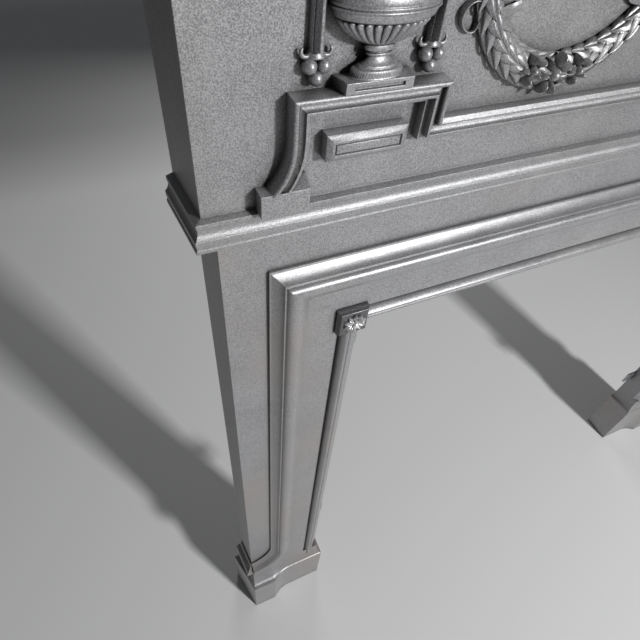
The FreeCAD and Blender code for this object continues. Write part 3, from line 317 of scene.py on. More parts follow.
def leg_lip(profile):
    """Lip profile carried straight up from inside the plinth to the mitre."""
    inset, out = profile[:, 0], profile[:, 1]
    foot = moulding_point(LEG_OUTER_X + FLAT_W + inset, out, LIP_FOOT_Z)
    mitre = moulding_point(LEG_OUTER_X + FLAT_W + inset, out, MITRE_TOP_Z - inset)
    return ends_closed(np.stack([foot, mitre]))


hollow_line = soft_line(HOLLOW, steps=3)
roll_line = soft_line(ROLL, steps=3)
bolection = np.concatenate([BOLECTION_STEP, hollow_line, roll_line, QUIRKS, BOLECTION_BACK])
lip = np.array(LIP)
leg_grids = [leg_bolection(bolection), leg_lip(lip)]
casting("left_leg_moulding", leg_grids, leg_iron)
casting("right_leg_moulding", mirrored(leg_grids), leg_iron)

# Header. The same bolection, panel and lip turned along the top of the opening, with a plain fascia above.
# One hollow casting in grey iron, held to the legs by plates across the mitres at the back.
header_iron = iron_finish("header_iron", sheen=0.35, grain=0.34, warmth=0.25)
dress("header", header_iron)


# Moulding of the header, in the header's own iron. The legs' bolection and lip go on along the top of the
# opening, from one mitre to the other.
def header_run(profile):
    """Profile carried from the left mitre to the right one."""
    inset, out = profile[:, 0], profile[:, 1]
    left = LEG_OUTER_X + FLAT_W + inset
    ends = [moulding_point(end, out, MITRE_TOP_Z - inset) for end in (left, -left)]
    return ends_closed(np.stack(ends))


casting("header_moulding", [header_run(bolection), header_run(lip)], header_iron)

# Frieze and its two sides. A plate with a stepped ledge at the foot, a cornice at the top and moulded
# pedestals cast on its face. The sand of the mould shows most here, because the plate is broad and little
# rubbed.
frieze_iron = iron_finish("frieze_iron", sheen=0.36, grain=0.5, warmth=0.1, hollow=10.0)
for node in ("frieze", "left_frieze_return", "right_frieze_return"):
    dress(node, frieze_iron)

# Tablets. A cap in the frieze's iron on each pedestal's raised panel, cast with broad bevels, a narrow land
# and a groove round the field.
FRIEZE_FACE_Y = 14.0
TABLET_X = -494.1
TABLET_HALF = 28.5
TABLET_LOW_Z = 1061.5
TABLET_TOP_Z = 1079.0
# Each step of the tablet from its foot to its field: inset from the casting's own tablet, and height.
TABLET_STEPS = [
    (0.6, 7.6), (-0.1, 8.4), (-0.1, 8.8), (3.2, 11.5), (3.4, 11.6), (4.8, 11.6), (5.5, 10.3), (6.1, 11.3),
    (6.3, 11.4), (6.3, 11.4),
]


def tablet():
    """Rows of rectangles, each set in from the last; the first and last shrink to a line to close it."""
    inset, out = np.array(TABLET_STEPS).T[:, :, None]
    middle = (TABLET_LOW_Z + TABLET_TOP_Z) / 2
    tall = (TABLET_TOP_Z - TABLET_LOW_Z) / 2 - inset
    wide = TABLET_HALF - inset
    tall[[0, -1]] = 0.0
    x = TABLET_X + wide * np.array([-1, 0, 1, 1, 1, 0, -1, -1])
    z = middle + tall * np.array([-1, -1, -1, 0, 1, 1, 1, 0])
    return np.stack([x, FRIEZE_FACE_Y - out + 0 * x, z], axis=-1) * MM


casting("left_tablet", [tablet()], frieze_iron)
casting("right_tablet", mirrored([tablet()]), frieze_iron)

# Shelf. A thin plate of cast iron with a moulded rim round the front and both ends, held by screws from
# below through the frieze's top flange, and worn smooth on top by use.
shelf_iron = iron_finish("shelf_iron", sheen=0.34, grain=0.24, warmth=0.3)
dress("shelf", shelf_iron)

# Urns. Each is cast in high relief with its block and ring handles, chased with gadroons under the bowl and
# a roped edge on the foot, and screwed to the frieze from behind.
URN_AXIS_OUT = 6.2
URN_FOOT_RELIEF = 0.48
URN_BOWL_RELIEF = 0.56
URN_BOWL_LOW = 16.0
URN_BOWL_TALL = 14.0
URN_BLOCK_H = 6.7
URN_BLOCK_OUT = 14.0
URN_BLOCK_HALF = 22.0
URN_BLOCK_SPLAY = 3.0
URN_BLOCK_ARRIS = 0.2
URN_SLOT_HALF = 16.0
URN_SLOT_DEEP = 1.4
URN_SLOT_END = 0.4
URN_LOBES = 30
URN_LOBE_COLUMNS = 12
URN_LOBE_LOW = 17.4
URN_LOBE_HIGH = 31.2
URN_LOBE_DOME = 0.84
URN_LOBE_DEPTH = 0.145
URN_ROPE_TURNS = 56
URN_ROPE_Z = 2.6
URN_ROPE_SPREAD = 1.5
URN_ROPE_LEAST_R = 15
URN_ROPE_DEPTH = 0.018
URN_ROPE_SLANT = 1.2
HANDLE_X = 20.5
HANDLE_Z = 51.8
HANDLE_R = 7.0
HANDLE_OUT = 2.0
HANDLE_THIN = 1.7
HANDLE_SWELL = 0.6
# Radius and height of the turned urn, from the middle of its foot to the tip of its knob.
URN_PROFILE = [
    (0.0, 0.0), (15.9, 0.0), (16.4, 0.8), (16.4, 3.0), (15.6, 4.6), (13.6, 5.0), (12.9, 5.2), (12.4, 6.4),
    (9.6, 7.6), (7.4, 9.4), (6.3, 10.9), (7.7, 11.2), (8.1, 11.9), (7.7, 12.5), (6.6, 12.7), (6.8, 13.5),
    (8.9, 13.8), (9.5, 15.2), (8.9, 16.7), (7.6, 17.0), (9.0, 17.4), (14.4, 19.0), (19.8, 21.8), (24.6, 25.6),
    (28.0, 29.6), (28.8, 31.0), (28.6, 31.5), (29.8, 31.9), (31.0, 34.2), (31.5, 35.6), (32.4, 36.0),
    (32.7, 36.5), (32.2, 37.1), (31.5, 37.3), (32.2, 37.9), (32.4, 38.4), (31.9, 38.9), (31.3, 39.2),
    (31.3, 40.6), (29.8, 44.0), (26.0, 48.4), (20.0, 52.6), (14.0, 55.6), (11.4, 58.4), (11.6, 61.6),
    (14.4, 64.4), (16.2, 65.4), (16.6, 66.6), (16.0, 67.8), (13.6, 71.6), (9.0, 76.0), (4.6, 78.4),
    (3.6, 79.6), (4.9, 82.0), (4.8, 84.4), (2.6, 87.0), (0.0, 88.4),
]
urn_low, urn_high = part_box("left_urn")
FACE_Y = urn_high.y
URN_X = (urn_low.x + urn_high.x) / 2
URN_BASE_Z = urn_low.z


def on_face(x, out, z):
    """Points on the frieze face, in metres: X, height out from the face (never behind it), and Z."""
    x, out, z = np.broadcast_arrays(x, out, z)
    return np.stack([x, FACE_Y - np.maximum(out, 0.0), z], axis=-1)


def turned_relief(profile, x, z, axis_out, relief, columns, swell=None):
    """Turned shape in relief.

    Each row is an ellipse, across = r cos a and out = axis_out + relief r sin a, flattened where it would
    pass behind the face. relief may differ from row to row, and swell gives r a factor for each row and
    angle.
    """
    angle = np.linspace(0, 2 * np.pi, columns, endpoint=False)
    radius = profile[:, :1] * MM
    if swell is not None:
        radius = radius * swell(profile, angle)
    out = axis_out * MM + relief * radius * np.sin(angle)
    return on_face(x + radius * np.cos(angle), out, z + profile[:, 1:] * MM)


def urn_carving(profile, angle):
    """Factor on the urn's radius: round lobes under the bowl and a roped edge on the foot.

    A lobe is an arch across its width with a domed top, and the rope is a cosine slanted with height.
    """
    height = profile[:, 1:]
    across = 2 * np.mod(angle * URN_LOBES / (2 * np.pi), 1.0) - 1
    rise = (height - URN_LOBE_LOW) / (URN_LOBE_HIGH - URN_LOBE_LOW)
    near_top = np.clip((rise - URN_LOBE_DOME) / (1 - URN_LOBE_DOME), 0, 1)
    arch = np.sqrt(np.clip(1 - across ** 2 - near_top ** 2, 0, 1))
    lobed = (rise > 0) & (rise < 1)
    lobes = np.where(lobed, URN_LOBE_DEPTH * np.minimum(1, 6 * rise) * (arch - 1), 0.0)
    on_foot = profile[:, :1] > URN_ROPE_LEAST_R
    roped = np.exp(-((height - URN_ROPE_Z) / URN_ROPE_SPREAD) ** 2) * on_foot
    rope = URN_ROPE_DEPTH * roped * np.cos(angle * URN_ROPE_TURNS + URN_ROPE_SLANT * height)
    return 1 + lobes + rope


def ring_handle(x, z):
    """Ring handle: a round section of swelling radius carried round a circle."""
    turn = np.linspace(0, 2 * np.pi, 41)[:, None]
    section = np.linspace(0, 2 * np.pi, 12, endpoint=False)[None, :]
    thick = (HANDLE_THIN + HANDLE_SWELL * np.cos(turn) ** 2) * MM
    reach = HANDLE_R * MM + thick * np.cos(section)
    out = HANDLE_OUT * MM + thick * np.sin(section)
    return on_face(x + reach * np.cos(turn), out, z + reach * np.sin(turn))


def urn_block(x, z):
    """Splayed block under the urn: level rows with a front that steps back along the slot."""
    level = np.array([0, 0, 0.03, 0.30, 0.36, 0.62, 0.68, 0.97, 1, 1])[:, None] * URN_BLOCK_H * MM
    solid = np.array([0, 0.96, 1, 1, 1, 1, 1, 1, 0.96, 0])[:, None]
    slot = np.array([0, 0, 0, 0, 1, 1, 0, 0, 0, 0])[:, None]
    half = URN_BLOCK_HALF
    wide = half + URN_BLOCK_SPLAY
    end = URN_SLOT_HALF
    right = np.array([end, end + URN_SLOT_END, half, half + URN_BLOCK_ARRIS, wide])
    across = np.concatenate([-right[::-1], [0.0], right])
    inside = np.abs(across) <= end
    splayed = np.where(np.abs(across) == wide, 0, 0.97)
    depth = np.where(np.abs(across) > half, splayed, 1.0) * URN_BLOCK_OUT
    out = solid * (depth - URN_SLOT_DEEP * slot * inside)
    across = np.concatenate([across, across[-2:0:-1]])
    out = np.concatenate([out, 0 * out[:, -2:0:-1]], axis=1)
    return on_face(x + across * MM, out * MM, z + level)


ornament_iron = iron_finish("ornament_iron", sheen=0.38, grain=0.18, warmth=0.1, hollow=13.0)
urn_top_z = URN_BASE_Z + URN_BLOCK_H * MM
urn_line = soft_line(URN_PROFILE, steps=3)
bowl_share = np.clip((urn_line[:, 1:] - URN_BOWL_LOW) / URN_BOWL_TALL, 0, 1)
urn_relief = URN_FOOT_RELIEF + (URN_BOWL_RELIEF - URN_FOOT_RELIEF) * bowl_share
urn_columns = URN_LOBE_COLUMNS * URN_LOBES
urn_grids = [
    turned_relief(urn_line, URN_X, urn_top_z, URN_AXIS_OUT, urn_relief, urn_columns, urn_carving),
    urn_block(URN_X, URN_BASE_Z),
]
for way in (-1, 1):
    urn_grids.append(ring_handle(URN_X + way * HANDLE_X * MM, urn_top_z + HANDLE_Z * MM))
casting("left_urn_relief", urn_grids, ornament_iron, "left_urn")
casting("right_urn_relief", mirrored(urn_grids), ornament_iron, "right_urn")

# Drops. A narrow ridged bar hangs from a button on either side of each urn and ends in a flared husk, two
# curls and three berries. Cast in one with a flat back and screwed to the frieze from behind.
DROP_STEP = 36.9
DROP_HALF = 3.9
DROP_OUT = 9.8
DROP_TAPER = 0.31
DROP_THINNING = 0.12
# Half of the bar's section, as shares of its half width and its height.
DROP_SECTION = [(1.0, 0.0), (1.0, 0.46), (0.84, 0.54), (0.72, 0.50), (0.56, 0.74), (0.22, 0.97), (0.0, 1.0)]
HUSK_PROFILE = [(0.0, 1.6), (3.7, 1.6), (4.3, 0.2), (5.2, -1.5), (5.6, -2.5), (5.0, -3.3), (0.0, -3.5)]
HUSK_AXIS_OUT = 2.2
HUSK_RELIEF = 0.9
HUSK_COLUMNS = 40
BERRY_R = 4.4
BERRY_OUT = 4.4
BERRY_TIP = 0.06
# Places of the berries and depth of the bunch, in berry radii.
BERRY_PLACES = [(-0.95, -1.6), (0.95, -1.6), (0.0, -3.05)]
BUNCH_DEEP = 4.0
CURL_X = 6.6
CURL_RISE = 0.6
CURL_OUT = 3.4
CURL_R = 3.8
CURL_R_LOSS = 1.9
CURL_THICK = 1.6
CURL_THICK_LOSS = 0.5
BUTTON_R = 8.0
BUTTON_LAP = 1.5
BUTTON_PROFILE = [
    (0.0, 0.0), (7.9, 0.0), (8.0, 1.4), (6.9, 2.2), (6.4, 1.9), (5.6, 3.6), (3.4, 5.3), (0.0, 6.0),
]
drop_low, drop_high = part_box("left_urn_drops")
DROP_FOOT_Z = drop_low.z + BUNCH_DEEP * BERRY_R * MM
DROP_TOP_Z = drop_high.z - (2 * BUTTON_R - BUTTON_LAP) * MM


def drop_bar(x):
    """Ridged bar: a symmetrical section whose width and height shrink from the foot to the top."""
    side = np.array(DROP_SECTION)
    section = np.concatenate([side, side[-2::-1] * (-1, 1)])
    along = np.array([0, 0.01, 0.2, 0.4, 0.6, 0.8, 0.99, 1])[:, None]
    close = np.array([0, 1, 1, 1, 1, 1, 1, 0])[:, None]
    half = DROP_HALF * (1 - DROP_TAPER * along) * close * MM
    out = DROP_OUT * (1 - DROP_THINNING * along) * close * MM
    z = DROP_FOOT_Z + (DROP_TOP_Z - DROP_FOOT_Z) * along
    return on_face(x + half * section[:, 0], out * section[:, 1], z)


def berry(x, z):
    """Ball with a slight point at the front: rows of circles from the back to the front."""
    polar = np.linspace(0, np.pi, 15)[:, None]
    turn = np.linspace(0, 2 * np.pi, 20, endpoint=False)
    radius = BERRY_R * MM
    ring = radius * np.sin(polar)
    tip = 1 + BERRY_TIP * np.exp(-((polar - np.pi) / 0.3) ** 2)
    out = BERRY_OUT * MM - radius * tip * np.cos(polar)
    return on_face(x + ring * np.cos(turn), out, z + ring * np.sin(turn))


def curl(x, z, way):
    """Small hook: a tapering round section on a spiral that runs down from the bar, out and up again."""
    along = np.linspace(0, 1, 22)[:, None]
    turn = np.pi * (0.95 + 1.35 * along)
    reach = (CURL_R - CURL_R_LOSS * along) * MM
    rounded = np.sqrt(np.sin(np.pi * (0.06 + 0.93 * along)))
    thick = (CURL_THICK - CURL_THICK_LOSS * along) * rounded * MM
    section = np.linspace(0, 2 * np.pi, 10, endpoint=False)
    grown = reach + thick * np.cos(section)
    across = way * (CURL_X * MM + grown * np.cos(turn))
    out = CURL_OUT * MM + thick * np.sin(section)
    return ends_closed(on_face(x + across, out, z + grown * np.sin(turn)))


def button(x, z):
    """Domed button with a turned rim: rings along its profile, closed flat at the back."""
    rings = soft_line(BUTTON_PROFILE, steps=4)
    turn = np.linspace(0, 2 * np.pi, 32, endpoint=False)
    radius = rings[:, :1] * MM
    return on_face(x + radius * np.cos(turn), rings[:, 1:] * MM, z + radius * np.sin(turn))


def drop(x):
    """Every grid of one drop."""
    husk_line = soft_line(HUSK_PROFILE, steps=4)
    husk = turned_relief(husk_line, x, DROP_FOOT_Z, HUSK_AXIS_OUT, HUSK_RELIEF, HUSK_COLUMNS)
    grids = [drop_bar(x), husk]
    for across, down in BERRY_PLACES:
        grids.append(berry(x + across * BERRY_R * MM, DROP_FOOT_Z + down * BERRY_R * MM))
    for way in (-1, 1):
        grids.append(curl(x, DROP_FOOT_Z + CURL_RISE * MM, way))
    grids.append(button(x, DROP_TOP_Z + (BUTTON_R - BUTTON_LAP) * MM))
    return grids


drop_grids = drop(URN_X - DROP_STEP * MM) + drop(URN_X + DROP_STEP * MM)
casting("left_urn_drops_relief", drop_grids, ornament_iron, "left_urn_drops")
casting("right_urn_drops_relief", mirrored(drop_grids), ornament_iron, "right_urn_drops")

# Wreaths. Three rings of overlapping laurel leaves whose tips meet at a cluster of flowers below, bound with
# ribbon on both sides. Each is one shallow casting with a flat back, screwed to the frieze from behind.
WREATH_OUTER = 83.0
WREATH_THIN = 5.2
WREATH_SWELL = 7.0
WREATH_CORE = 0.7
LEAVES_PER_ROW = 19
LEAF_LONG = 24.0
LEAF_HALF = 6.8
LEAF_SEAT = 0.62
LEAF_FOLD = 3.2
LEAF_RISE = 5.8
LEAF_EDGE = 1.4
# Each row of leaves: its roll round the ring, in degrees, and its start in steps along the limb.
LEAF_ROWS = [(-56.0, 0.0), (0.0, 0.5), (56.0, 0.0)]
# Each flower of the cluster: its angle round the ring, in degrees, its radius and its petals.
WREATH_FLOWERS = [(-95.0, 14.0, 7), (-112.0, 10.0, 5), (-78.0, 10.0, 5)]
FLOWER_BASE = 8.0
FLOWER_TALL = 9.0
LOOP_X = 80.0
LOOP_Z = -34.0
LOOP_HALF_W = 6.6
LOOP_HALF_H = 8.6
LOOP_OUT = 4.6
RIBBON_THICK = 1.2
RIBBON_END_X = 67.0
RIBBON_END_Z = -38.0
RIBBON_END_OUT = 5.0
RIBBON_END_HALF = 4.2
RIBBON_END_LONG = 21.0
RIBBON_END_CLIMB = 10.0


def wreath_thickness(turn):
    """Half thickness of the ring: thin at the top and swelling towards the bottom."""
    return (WREATH_THIN + WREATH_SWELL * (0.5 - 0.5 * np.sin(turn)) ** 2) * MM


def wreath_core(x, z):
    """Plain ring under the leaves: a round section, a little thinner than the ring, carried round."""
    turn = np.linspace(-np.pi / 2, 1.5 * np.pi, 97)[:, None]
    tilt = np.linspace(0, 2 * np.pi, 20, endpoint=False)
    thick = wreath_thickness(turn)
    core = WREATH_CORE * thick
    reach = WREATH_OUTER * MM - thick + core * np.sin(tilt)
    return on_face(x + reach * np.cos(turn), core * np.cos(tilt), z + reach * np.sin(turn))


def wreath_leaf(x, z, turn, roll, way):
    """Laurel leaf on the ring with its tip towards the bottom.

    Half width = sin(pi u^0.75), so that both ends are points. The height above the ring's middle line is
    the ring, a rise towards the tip and two swollen halves with a sunk vein between them, all turned by the
    roll round the ring. The underside follows it a little lower.
    """
    u = np.linspace(0, 1, 8)[:, None]
    v = np.array([-1, -0.75, -0.4, -0.12, 0, 0.12, 0.4, 0.75, 1, 0.5, -0.5])
    under = np.array([0, 0, 0, 0, 0, 0, 0, 0, 0, 1, 1])
    thick = wreath_thickness(turn)
    size = np.sqrt(thick / ((WREATH_THIN + WREATH_SWELL) * MM))
    centre = WREATH_OUTER * MM - thick
    half = LEAF_HALF * size * np.sin(np.pi * u ** 0.75)
    fold = LEAF_FOLD * size * (1 - v ** 2 - 0.55 * np.exp(-(v / 0.14) ** 2)) * (1 - u ** 6)
    height = LEAF_SEAT * thick / MM + LEAF_RISE * size * u ** 1.3 + fold - LEAF_EDGE * under
    lean = math.radians(roll) * (0.85 + 0.3 * u)
    aside = height * np.sin(lean) + half * v * np.cos(lean)
    out = height * np.cos(lean) - half * v * np.sin(lean)
    angle = turn + way * LEAF_LONG * size * MM * u / centre
    reach = centre + aside * MM
    return on_face(x + reach * np.cos(angle), out * MM, z + reach * np.sin(angle))


def flower(x, z, radius, petals):
    """Open flower in relief: rings from a small dome to a rim of points, with a ridge along each petal."""
    ring = np.array([0.0, 0.12, 0.22, 0.30, 0.34, 0.42, 0.55, 0.70, 0.84, 0.94, 1.0, 1.0, 0.9, 0.0])[:, None]
    rise = np.array([1.0, 0.96, 0.8, 0.5, 0.42, 0.66, 0.92, 1.0, 0.92, 0.74, 0.5, 0.0, 0.0, 0.0])[:, None]
    turn = np.linspace(0, 2 * np.pi, petals * 10, endpoint=False)
    across = np.abs(np.mod(turn * petals / (2 * np.pi), 1.0) - 0.5) * 2
    petal = np.clip((ring - 0.36) / 0.2, 0, 1)
    rim = 1 - 0.5 * petal * across
    crease = 1 - 0.85 * petal * across
    reach = radius * ring * rim
    out = (FLOWER_BASE + FLOWER_TALL * rise * crease) * MM
    return on_face(x + reach * np.cos(turn), out, z + reach * np.sin(turn))


def band(path, depth, thick):
    """Ribbon on edge: a thin section that stands out from the face, carried along a path of X and Z."""
    ahead = np.gradient(path, axis=0)
    ahead = ahead / np.linalg.norm(ahead, axis=1, keepdims=True)
    beside = np.stack([-ahead[:, 1], ahead[:, 0]], axis=1)
    side = np.array([-1, -1, -0.6, 0, 0.6, 1, 1, 0]) * thick / 2
    rise = np.array([0, 0.82, 0.96, 1, 0.96, 0.82, 0, 0])
    x = path[:, :1] + beside[:, :1] * side
    z = path[:, 1:] + beside[:, 1:] * side
    return ends_closed(on_face(x, depth[:, None] * rise, z))


def ribbon_loop(x, z, way):
    """Loop of ribbon outside the ring: a circle drawn out upwards and flattened on the ring's side."""
    t = np.linspace(0, 2 * np.pi, 41)
    across = (LOOP_X + LOOP_HALF_W * np.cos(t) + 0.9 * np.cos(2 * t)) * MM
    along = (LOOP_Z + LOOP_HALF_H * np.sin(t) + 1.2 * np.cos(t)) * MM
    path = np.stack([x + way * across, z + along], axis=1)
    return band(path, (LOOP_OUT + np.sin(t)) * MM, RIBBON_THICK * MM)


def ribbon_end(x, z, way):
    """End of ribbon inside the ring: a cambered strip that runs in and up along a wavy line, off the face."""
    t = np.linspace(0, 1, 15)[:, None]
    v = np.array([-1, -0.5, 0, 0.5, 1, 0.5, 0, -0.5])
    under = np.array([0, 0, 0, 0, 0, 1, 1, 1])
    half = RIBBON_END_HALF * (1 - 0.3 * t)
    across = RIBBON_END_X - RIBBON_END_LONG * t + half * v * 0.42
    along = RIBBON_END_Z + RIBBON_END_CLIMB * t + 1.6 * np.sin(5.2 * t) + half * v * 0.9
    camber = 0.8 * (1 - v ** 2) - 1.3 * under
    out = RIBBON_END_OUT - 1.6 * t + 1.1 * np.sin(6.0 * t) + camber
    return ends_closed(on_face(x + way * across * MM, out * MM, z + along * MM))


def wreath(x, z):
    """Every grid of one wreath."""
    grids = [wreath_core(x, z)]
    for way in (-1, 1):
        for roll, start in LEAF_ROWS:
            for i in range(LEAVES_PER_ROW):
                turn = np.pi / 2 + way * np.pi * (i + start) / (LEAVES_PER_ROW + 1)
                grids.append(wreath_leaf(x, z, turn, roll, way))
        grids.append(ribbon_loop(x, z, way))
        grids.append(ribbon_end(x, z, way))
    bottom = WREATH_OUTER - WREATH_THIN - WREATH_SWELL
    for turn, radius, petals in WREATH_FLOWERS:
        spot = math.radians(turn)
        across = x + bottom * math.cos(spot) * MM
        up = z + bottom * math.sin(spot) * MM
        grids.append(flower(across, up, radius * MM, petals))
    return grids


wreath_low, wreath_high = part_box("left_wreath")
WREATH_X = (wreath_low.x + wreath_high.x) / 2
WREATH_MIDDLE_Z = wreath_high.z - WREATH_OUTER * MM
wreath_grids = wreath(WREATH_X, WREATH_MIDDLE_Z)
casting("left_wreath_relief", wreath_grids, ornament_iron, "left_wreath")
casting("centre_wreath_relief", wreath(0.0, WREATH_MIDDLE_Z), ornament_iron, "centre_wreath")
casting("right_wreath_relief", mirrored(wreath_grids), ornament_iron, "right_wreath")

# Corner rosettes. Square bevelled blocks of iron that cover the mitres and are screwed on from behind. The
# block is blacked, and the pointed flower cast on its face is burnished brighter than the rest.
ROSETTE_PETALS = 10
ROSETTE_PETAL_R = 11.5
ROSETTE_PETAL_TALL = 5.2
ROSETTE_FLOWER_OUT = 5.6
ROSETTE_BLOCK_GREY = (0.13, 0.13, 0.135, 1.0)
RUBBED_DARK = (0.62, 0.62, 0.63, 1.0)
RUBBED_LIGHT = (0.9, 0.9, 0.91, 1.0)
RUBBED_EDGE = (0.8, 0.8, 0.81, 1.0)
BURNISHED_METALLIC = 0.6
RUBBED_CELL = 9.0
SCRATCH_CELL = 1.1


def rosette_block(low, high, front):
    """Square block: rows of squares from the seat to a bevelled front."""
    edge = np.linspace(-1, 1, 9)[:-1]
    one = np.ones(8)
    square_x = np.concatenate([edge, one, -edge, -one])
    square_z = np.concatenate([-one, edge, one, -edge])
    half = (high.x - low.x) / 2
    size = np.array([0, 1, 1, 0.98, 0.88, 0.80, 0.76, 0])[:, None] * half
    behind_front = np.array([4.2, 3.4, 0.3, 0, 0, 0]) * MM
    y = np.concatenate([[high.y, high.y], front + behind_front])
    x = (low.x + high.x) / 2 + size * square_x
    z = (low.z + high.z) / 2 + size * square_z
    return np.stack([x, y[:, None] + 0 * x, z], axis=-1)


def rosette_flower(x, y, z, radius, tall):
    """Pointed flower: rings from a domed middle to a rim of points, with a ridge along each petal."""
    ring = np.array([0.0, 0.14, 0.24, 0.30, 0.33, 0.40, 0.55, 0.72, 0.88, 1.0, 1.0, 0.9, 0.0])[:, None]
    rise = np.array([1.1, 1.06, 0.92, 0.70, 0.52, 0.66, 0.86, 0.84, 0.66, 0.42, 0.0, 0.0, 0.0])[:, None]
    turn = np.linspace(0, 2 * np.pi, ROSETTE_PETALS * 12, endpoint=False)
    across = np.abs(np.mod(turn * ROSETTE_PETALS / (2 * np.pi), 1.0) - 0.5) * 2
    petal = np.clip((ring - 0.34) / 0.12, 0, 1)
    reach = radius * ring * (1 - 0.30 * petal * across)
    out = tall * rise * (1 - 0.62 * petal * across)
    return np.stack([x + reach * np.cos(turn), y - out, z + reach * np.sin(turn)], axis=-1)


def burnished_finish(name, block_front):
    """Burnished iron: bright on the rubbed flower in front of its block, dark on the block, with painted
    shade in hollows.

    Depth along Y tells the flower from the block, and fine scratches are the bump.
    """
    finish, shade, place = new_metal(name)
    rounded, edge, corner = edge_and_corner(shade, edge_radius=0.5, corner_reach=4.0)
    depth = shade.node("ShaderNodeSeparateXYZ", {0: place}, output="Y")
    raised = 1 - depth.between(block_front - 1.2 * MM, block_front - 0.3 * MM)
    grit = place.noise(SCRATCH_CELL, detail=3.0, rough=0.65)
    patch = place.noise(RUBBED_CELL, detail=3.0)
    rubbed = (0.6 * patch + 0.4 * grit).between(0.3, 0.7).mix(RUBBED_DARK, RUBBED_LIGHT)
    blacked = raised.mix(ROSETTE_BLOCK_GREY, rubbed)
    bright = (0.6 * edge).mix(blacked, RUBBED_EDGE)
    # Painted shade: near black mixed in where the occlusion mask finds a hollow.
    colour = corner.mix(bright, PAINTED_CORNER_SHADE)
    rough = 0.2 + 0.16 * patch + 0.3 * corner
    scratched = grit.bump(rounded, strength=0.25, depth=0.3)
    return linked_metal(finish, BURNISHED_METALLIC, colour, rough, scratched)


rosette_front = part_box("left_corner_rosette")[0].y + ROSETTE_FLOWER_OUT * MM
burnished = burnished_finish("burnished_iron", rosette_front)
for side in ("left", "right"):
    node = side + "_corner_rosette"
    low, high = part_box(node)
    x = (low.x + high.x) / 2
    z = (low.z + high.z) / 2
    block = rosette_block(low, high, rosette_front)
    petals = rosette_flower(x, rosette_front, z, ROSETTE_PETAL_R * MM, ROSETTE_PETAL_TALL * MM)
    rosette = casting(node + "_relief", [block, petals], burnished, node)

# Fixings. Zinc-plated bolts, nuts, washers and screws, with steel plates behind the mitres and lugs for the
# wall. All of them are at the back or inside.
ZINC_DARK = (0.30, 0.31, 0.32, 1.0)
ZINC_LIGHT = (0.58, 0.59, 0.60, 1.0)
ZINC_EDGE = (0.74, 0.74, 0.74, 1.0)
# Dark that the occlusion mask mixes into corners: painted shade.
ZINC_PAINTED_SHADE = (0.09, 0.075, 0.06, 1.0)
ZINC_METALLIC = 1.0
SPANGLE_CELL = 3.5
ROLLED_CELL = 0.8


def zinc_finish(name):
    """Dull zinc: pale spangles of two greys, painted shade in the corners, with a fine rolled grain as bump.
    """
    finish, shade, place = new_metal(name)
    rounded, edge, corner = edge_and_corner(shade, edge_radius=0.4, corner_reach=3.0)
    spangle = place.scatter(SPANGLE_CELL)
    grain = place.noise(ROLLED_CELL, detail=3.0, rough=0.6)
    greys = (0.5 * spangle + 0.5 * grain).mix(ZINC_DARK, ZINC_LIGHT)
    bright = (0.5 * edge).mix(greys, ZINC_EDGE)
    # Painted shade: dark mixed in where the occlusion mask finds a corner.
    colour = (0.8 * corner).mix(bright, ZINC_PAINTED_SHADE)
    rough = 0.36 + 0.2 * grain + 0.2 * corner
    rolled = grain.bump(rounded, strength=0.2, depth=0.2)
    return linked_metal(finish, ZINC_METALLIC, colour, rough, rolled)


zinc = zinc_finish("dull_zinc")
for part in frame["record"]["subparts"]:
    if part["material_slot"] == "fixing_steel":
        dress(part["node"], zinc)

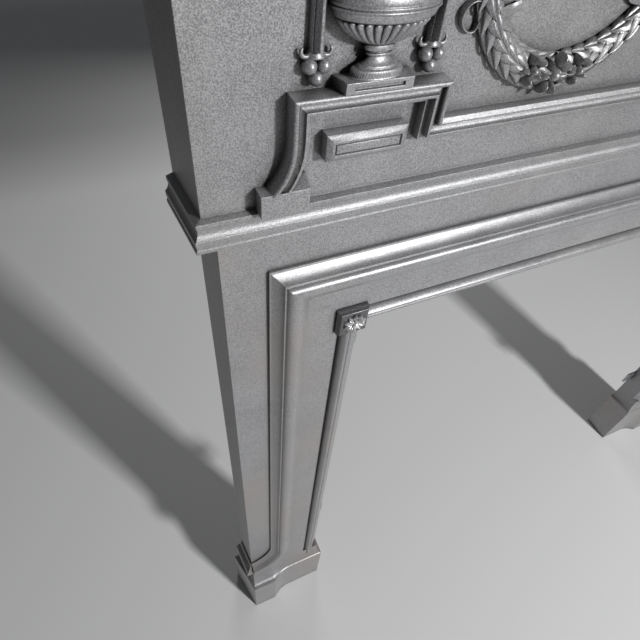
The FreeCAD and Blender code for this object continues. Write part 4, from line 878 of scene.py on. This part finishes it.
# Floor. A plain pale studio floor that the surround stands on, matt and wide enough to fill the view. It
# belongs to the stage and not to the object.
FLOOR_HALF = 6.0
FLOOR_GREY = (0.8, 0.8, 0.8, 1.0)
FLOOR_ROUGH = 0.85
floor_mesh = bpy.data.meshes.new("floor")
corners = [(-FLOOR_HALF, -FLOOR_HALF, 0), (FLOOR_HALF, -FLOOR_HALF, 0)]
corners += [(FLOOR_HALF, FLOOR_HALF, 0), (-FLOOR_HALF, FLOOR_HALF, 0)]
floor_mesh.from_pydata(corners, [], [(0, 1, 2, 3)])
floor = bpy.data.objects.new("floor", floor_mesh)
bpy.context.scene.collection.objects.link(floor)
floor_paint = bpy.data.materials.new("floor_paint")
floor_paint.use_nodes = True
floor_shader = floor_paint.node_tree.nodes["Principled BSDF"]
floor_shader.inputs["Base Color"].default_value = FLOOR_GREY
floor_shader.inputs["Roughness"].default_value = FLOOR_ROUGH
floor_mesh.materials.append(floor_paint)

# Light. One soft box ahead and to the right, low enough to rake the mouldings, and a weak one for the back,
# in an even surround.
SURROUND_COLOUR = (0.9, 0.92, 0.95, 1.0)
SURROUND_STRENGTH = 0.07
world = bpy.data.worlds.new("studio")
world.use_nodes = True
surround = world.node_tree.nodes["Background"]
surround.inputs["Color"].default_value = SURROUND_COLOUR
surround.inputs["Strength"].default_value = SURROUND_STRENGTH
bpy.context.scene.world = world


def soft_box(name, place, target, size, watts):
    """Square area light at a place, turned to a target."""
    lamp = bpy.data.lights.new(name, "AREA")
    lamp.shape = "SQUARE"
    lamp.size = size
    lamp.energy = watts
    light = bpy.data.objects.new(name, lamp)
    bpy.context.scene.collection.objects.link(light)
    light.location = place
    light.rotation_euler = (Vector(target) - Vector(place)).to_track_quat("-Z", "Y").to_euler()


soft_box("key_box", place=(0.9, -2.62, 2.1), target=(-0.4, 0.0, 0.95), size=0.3, watts=99.0)
soft_box("back_box", place=(0.5, 2.4, 1.5), target=(0.0, 0.0, 0.75), size=0.9, watts=13.0)

# Camera. It stands at the photograph's place, close to the left corner of the frieze and above it, and looks
# down along the left leg.
CAMERA_PLACE = (-0.65024, -0.2430, 1.23123)
VIEW_RIGHT = Vector((0.9112, -0.4053, 0.073))
VIEW_UP = Vector((0.2633, 0.7097, 0.6534))
VIEW_BACK = Vector((-0.3167, -0.5762, 0.7535))
camera_data = bpy.data.cameras.new("camera")
camera_data.lens = 27.92
camera_data.sensor_width = 36.0
camera_data.clip_start = 0.01
camera = bpy.data.objects.new("camera", camera_data)
bpy.context.scene.collection.objects.link(camera)
turned = Matrix((VIEW_RIGHT, VIEW_UP, VIEW_BACK)).transposed().to_4x4()
camera.matrix_world = Matrix.Translation(CAMERA_PLACE) @ turned
bpy.context.scene.camera = camera
bpy.context.scene.view_settings.view_transform = "Standard"
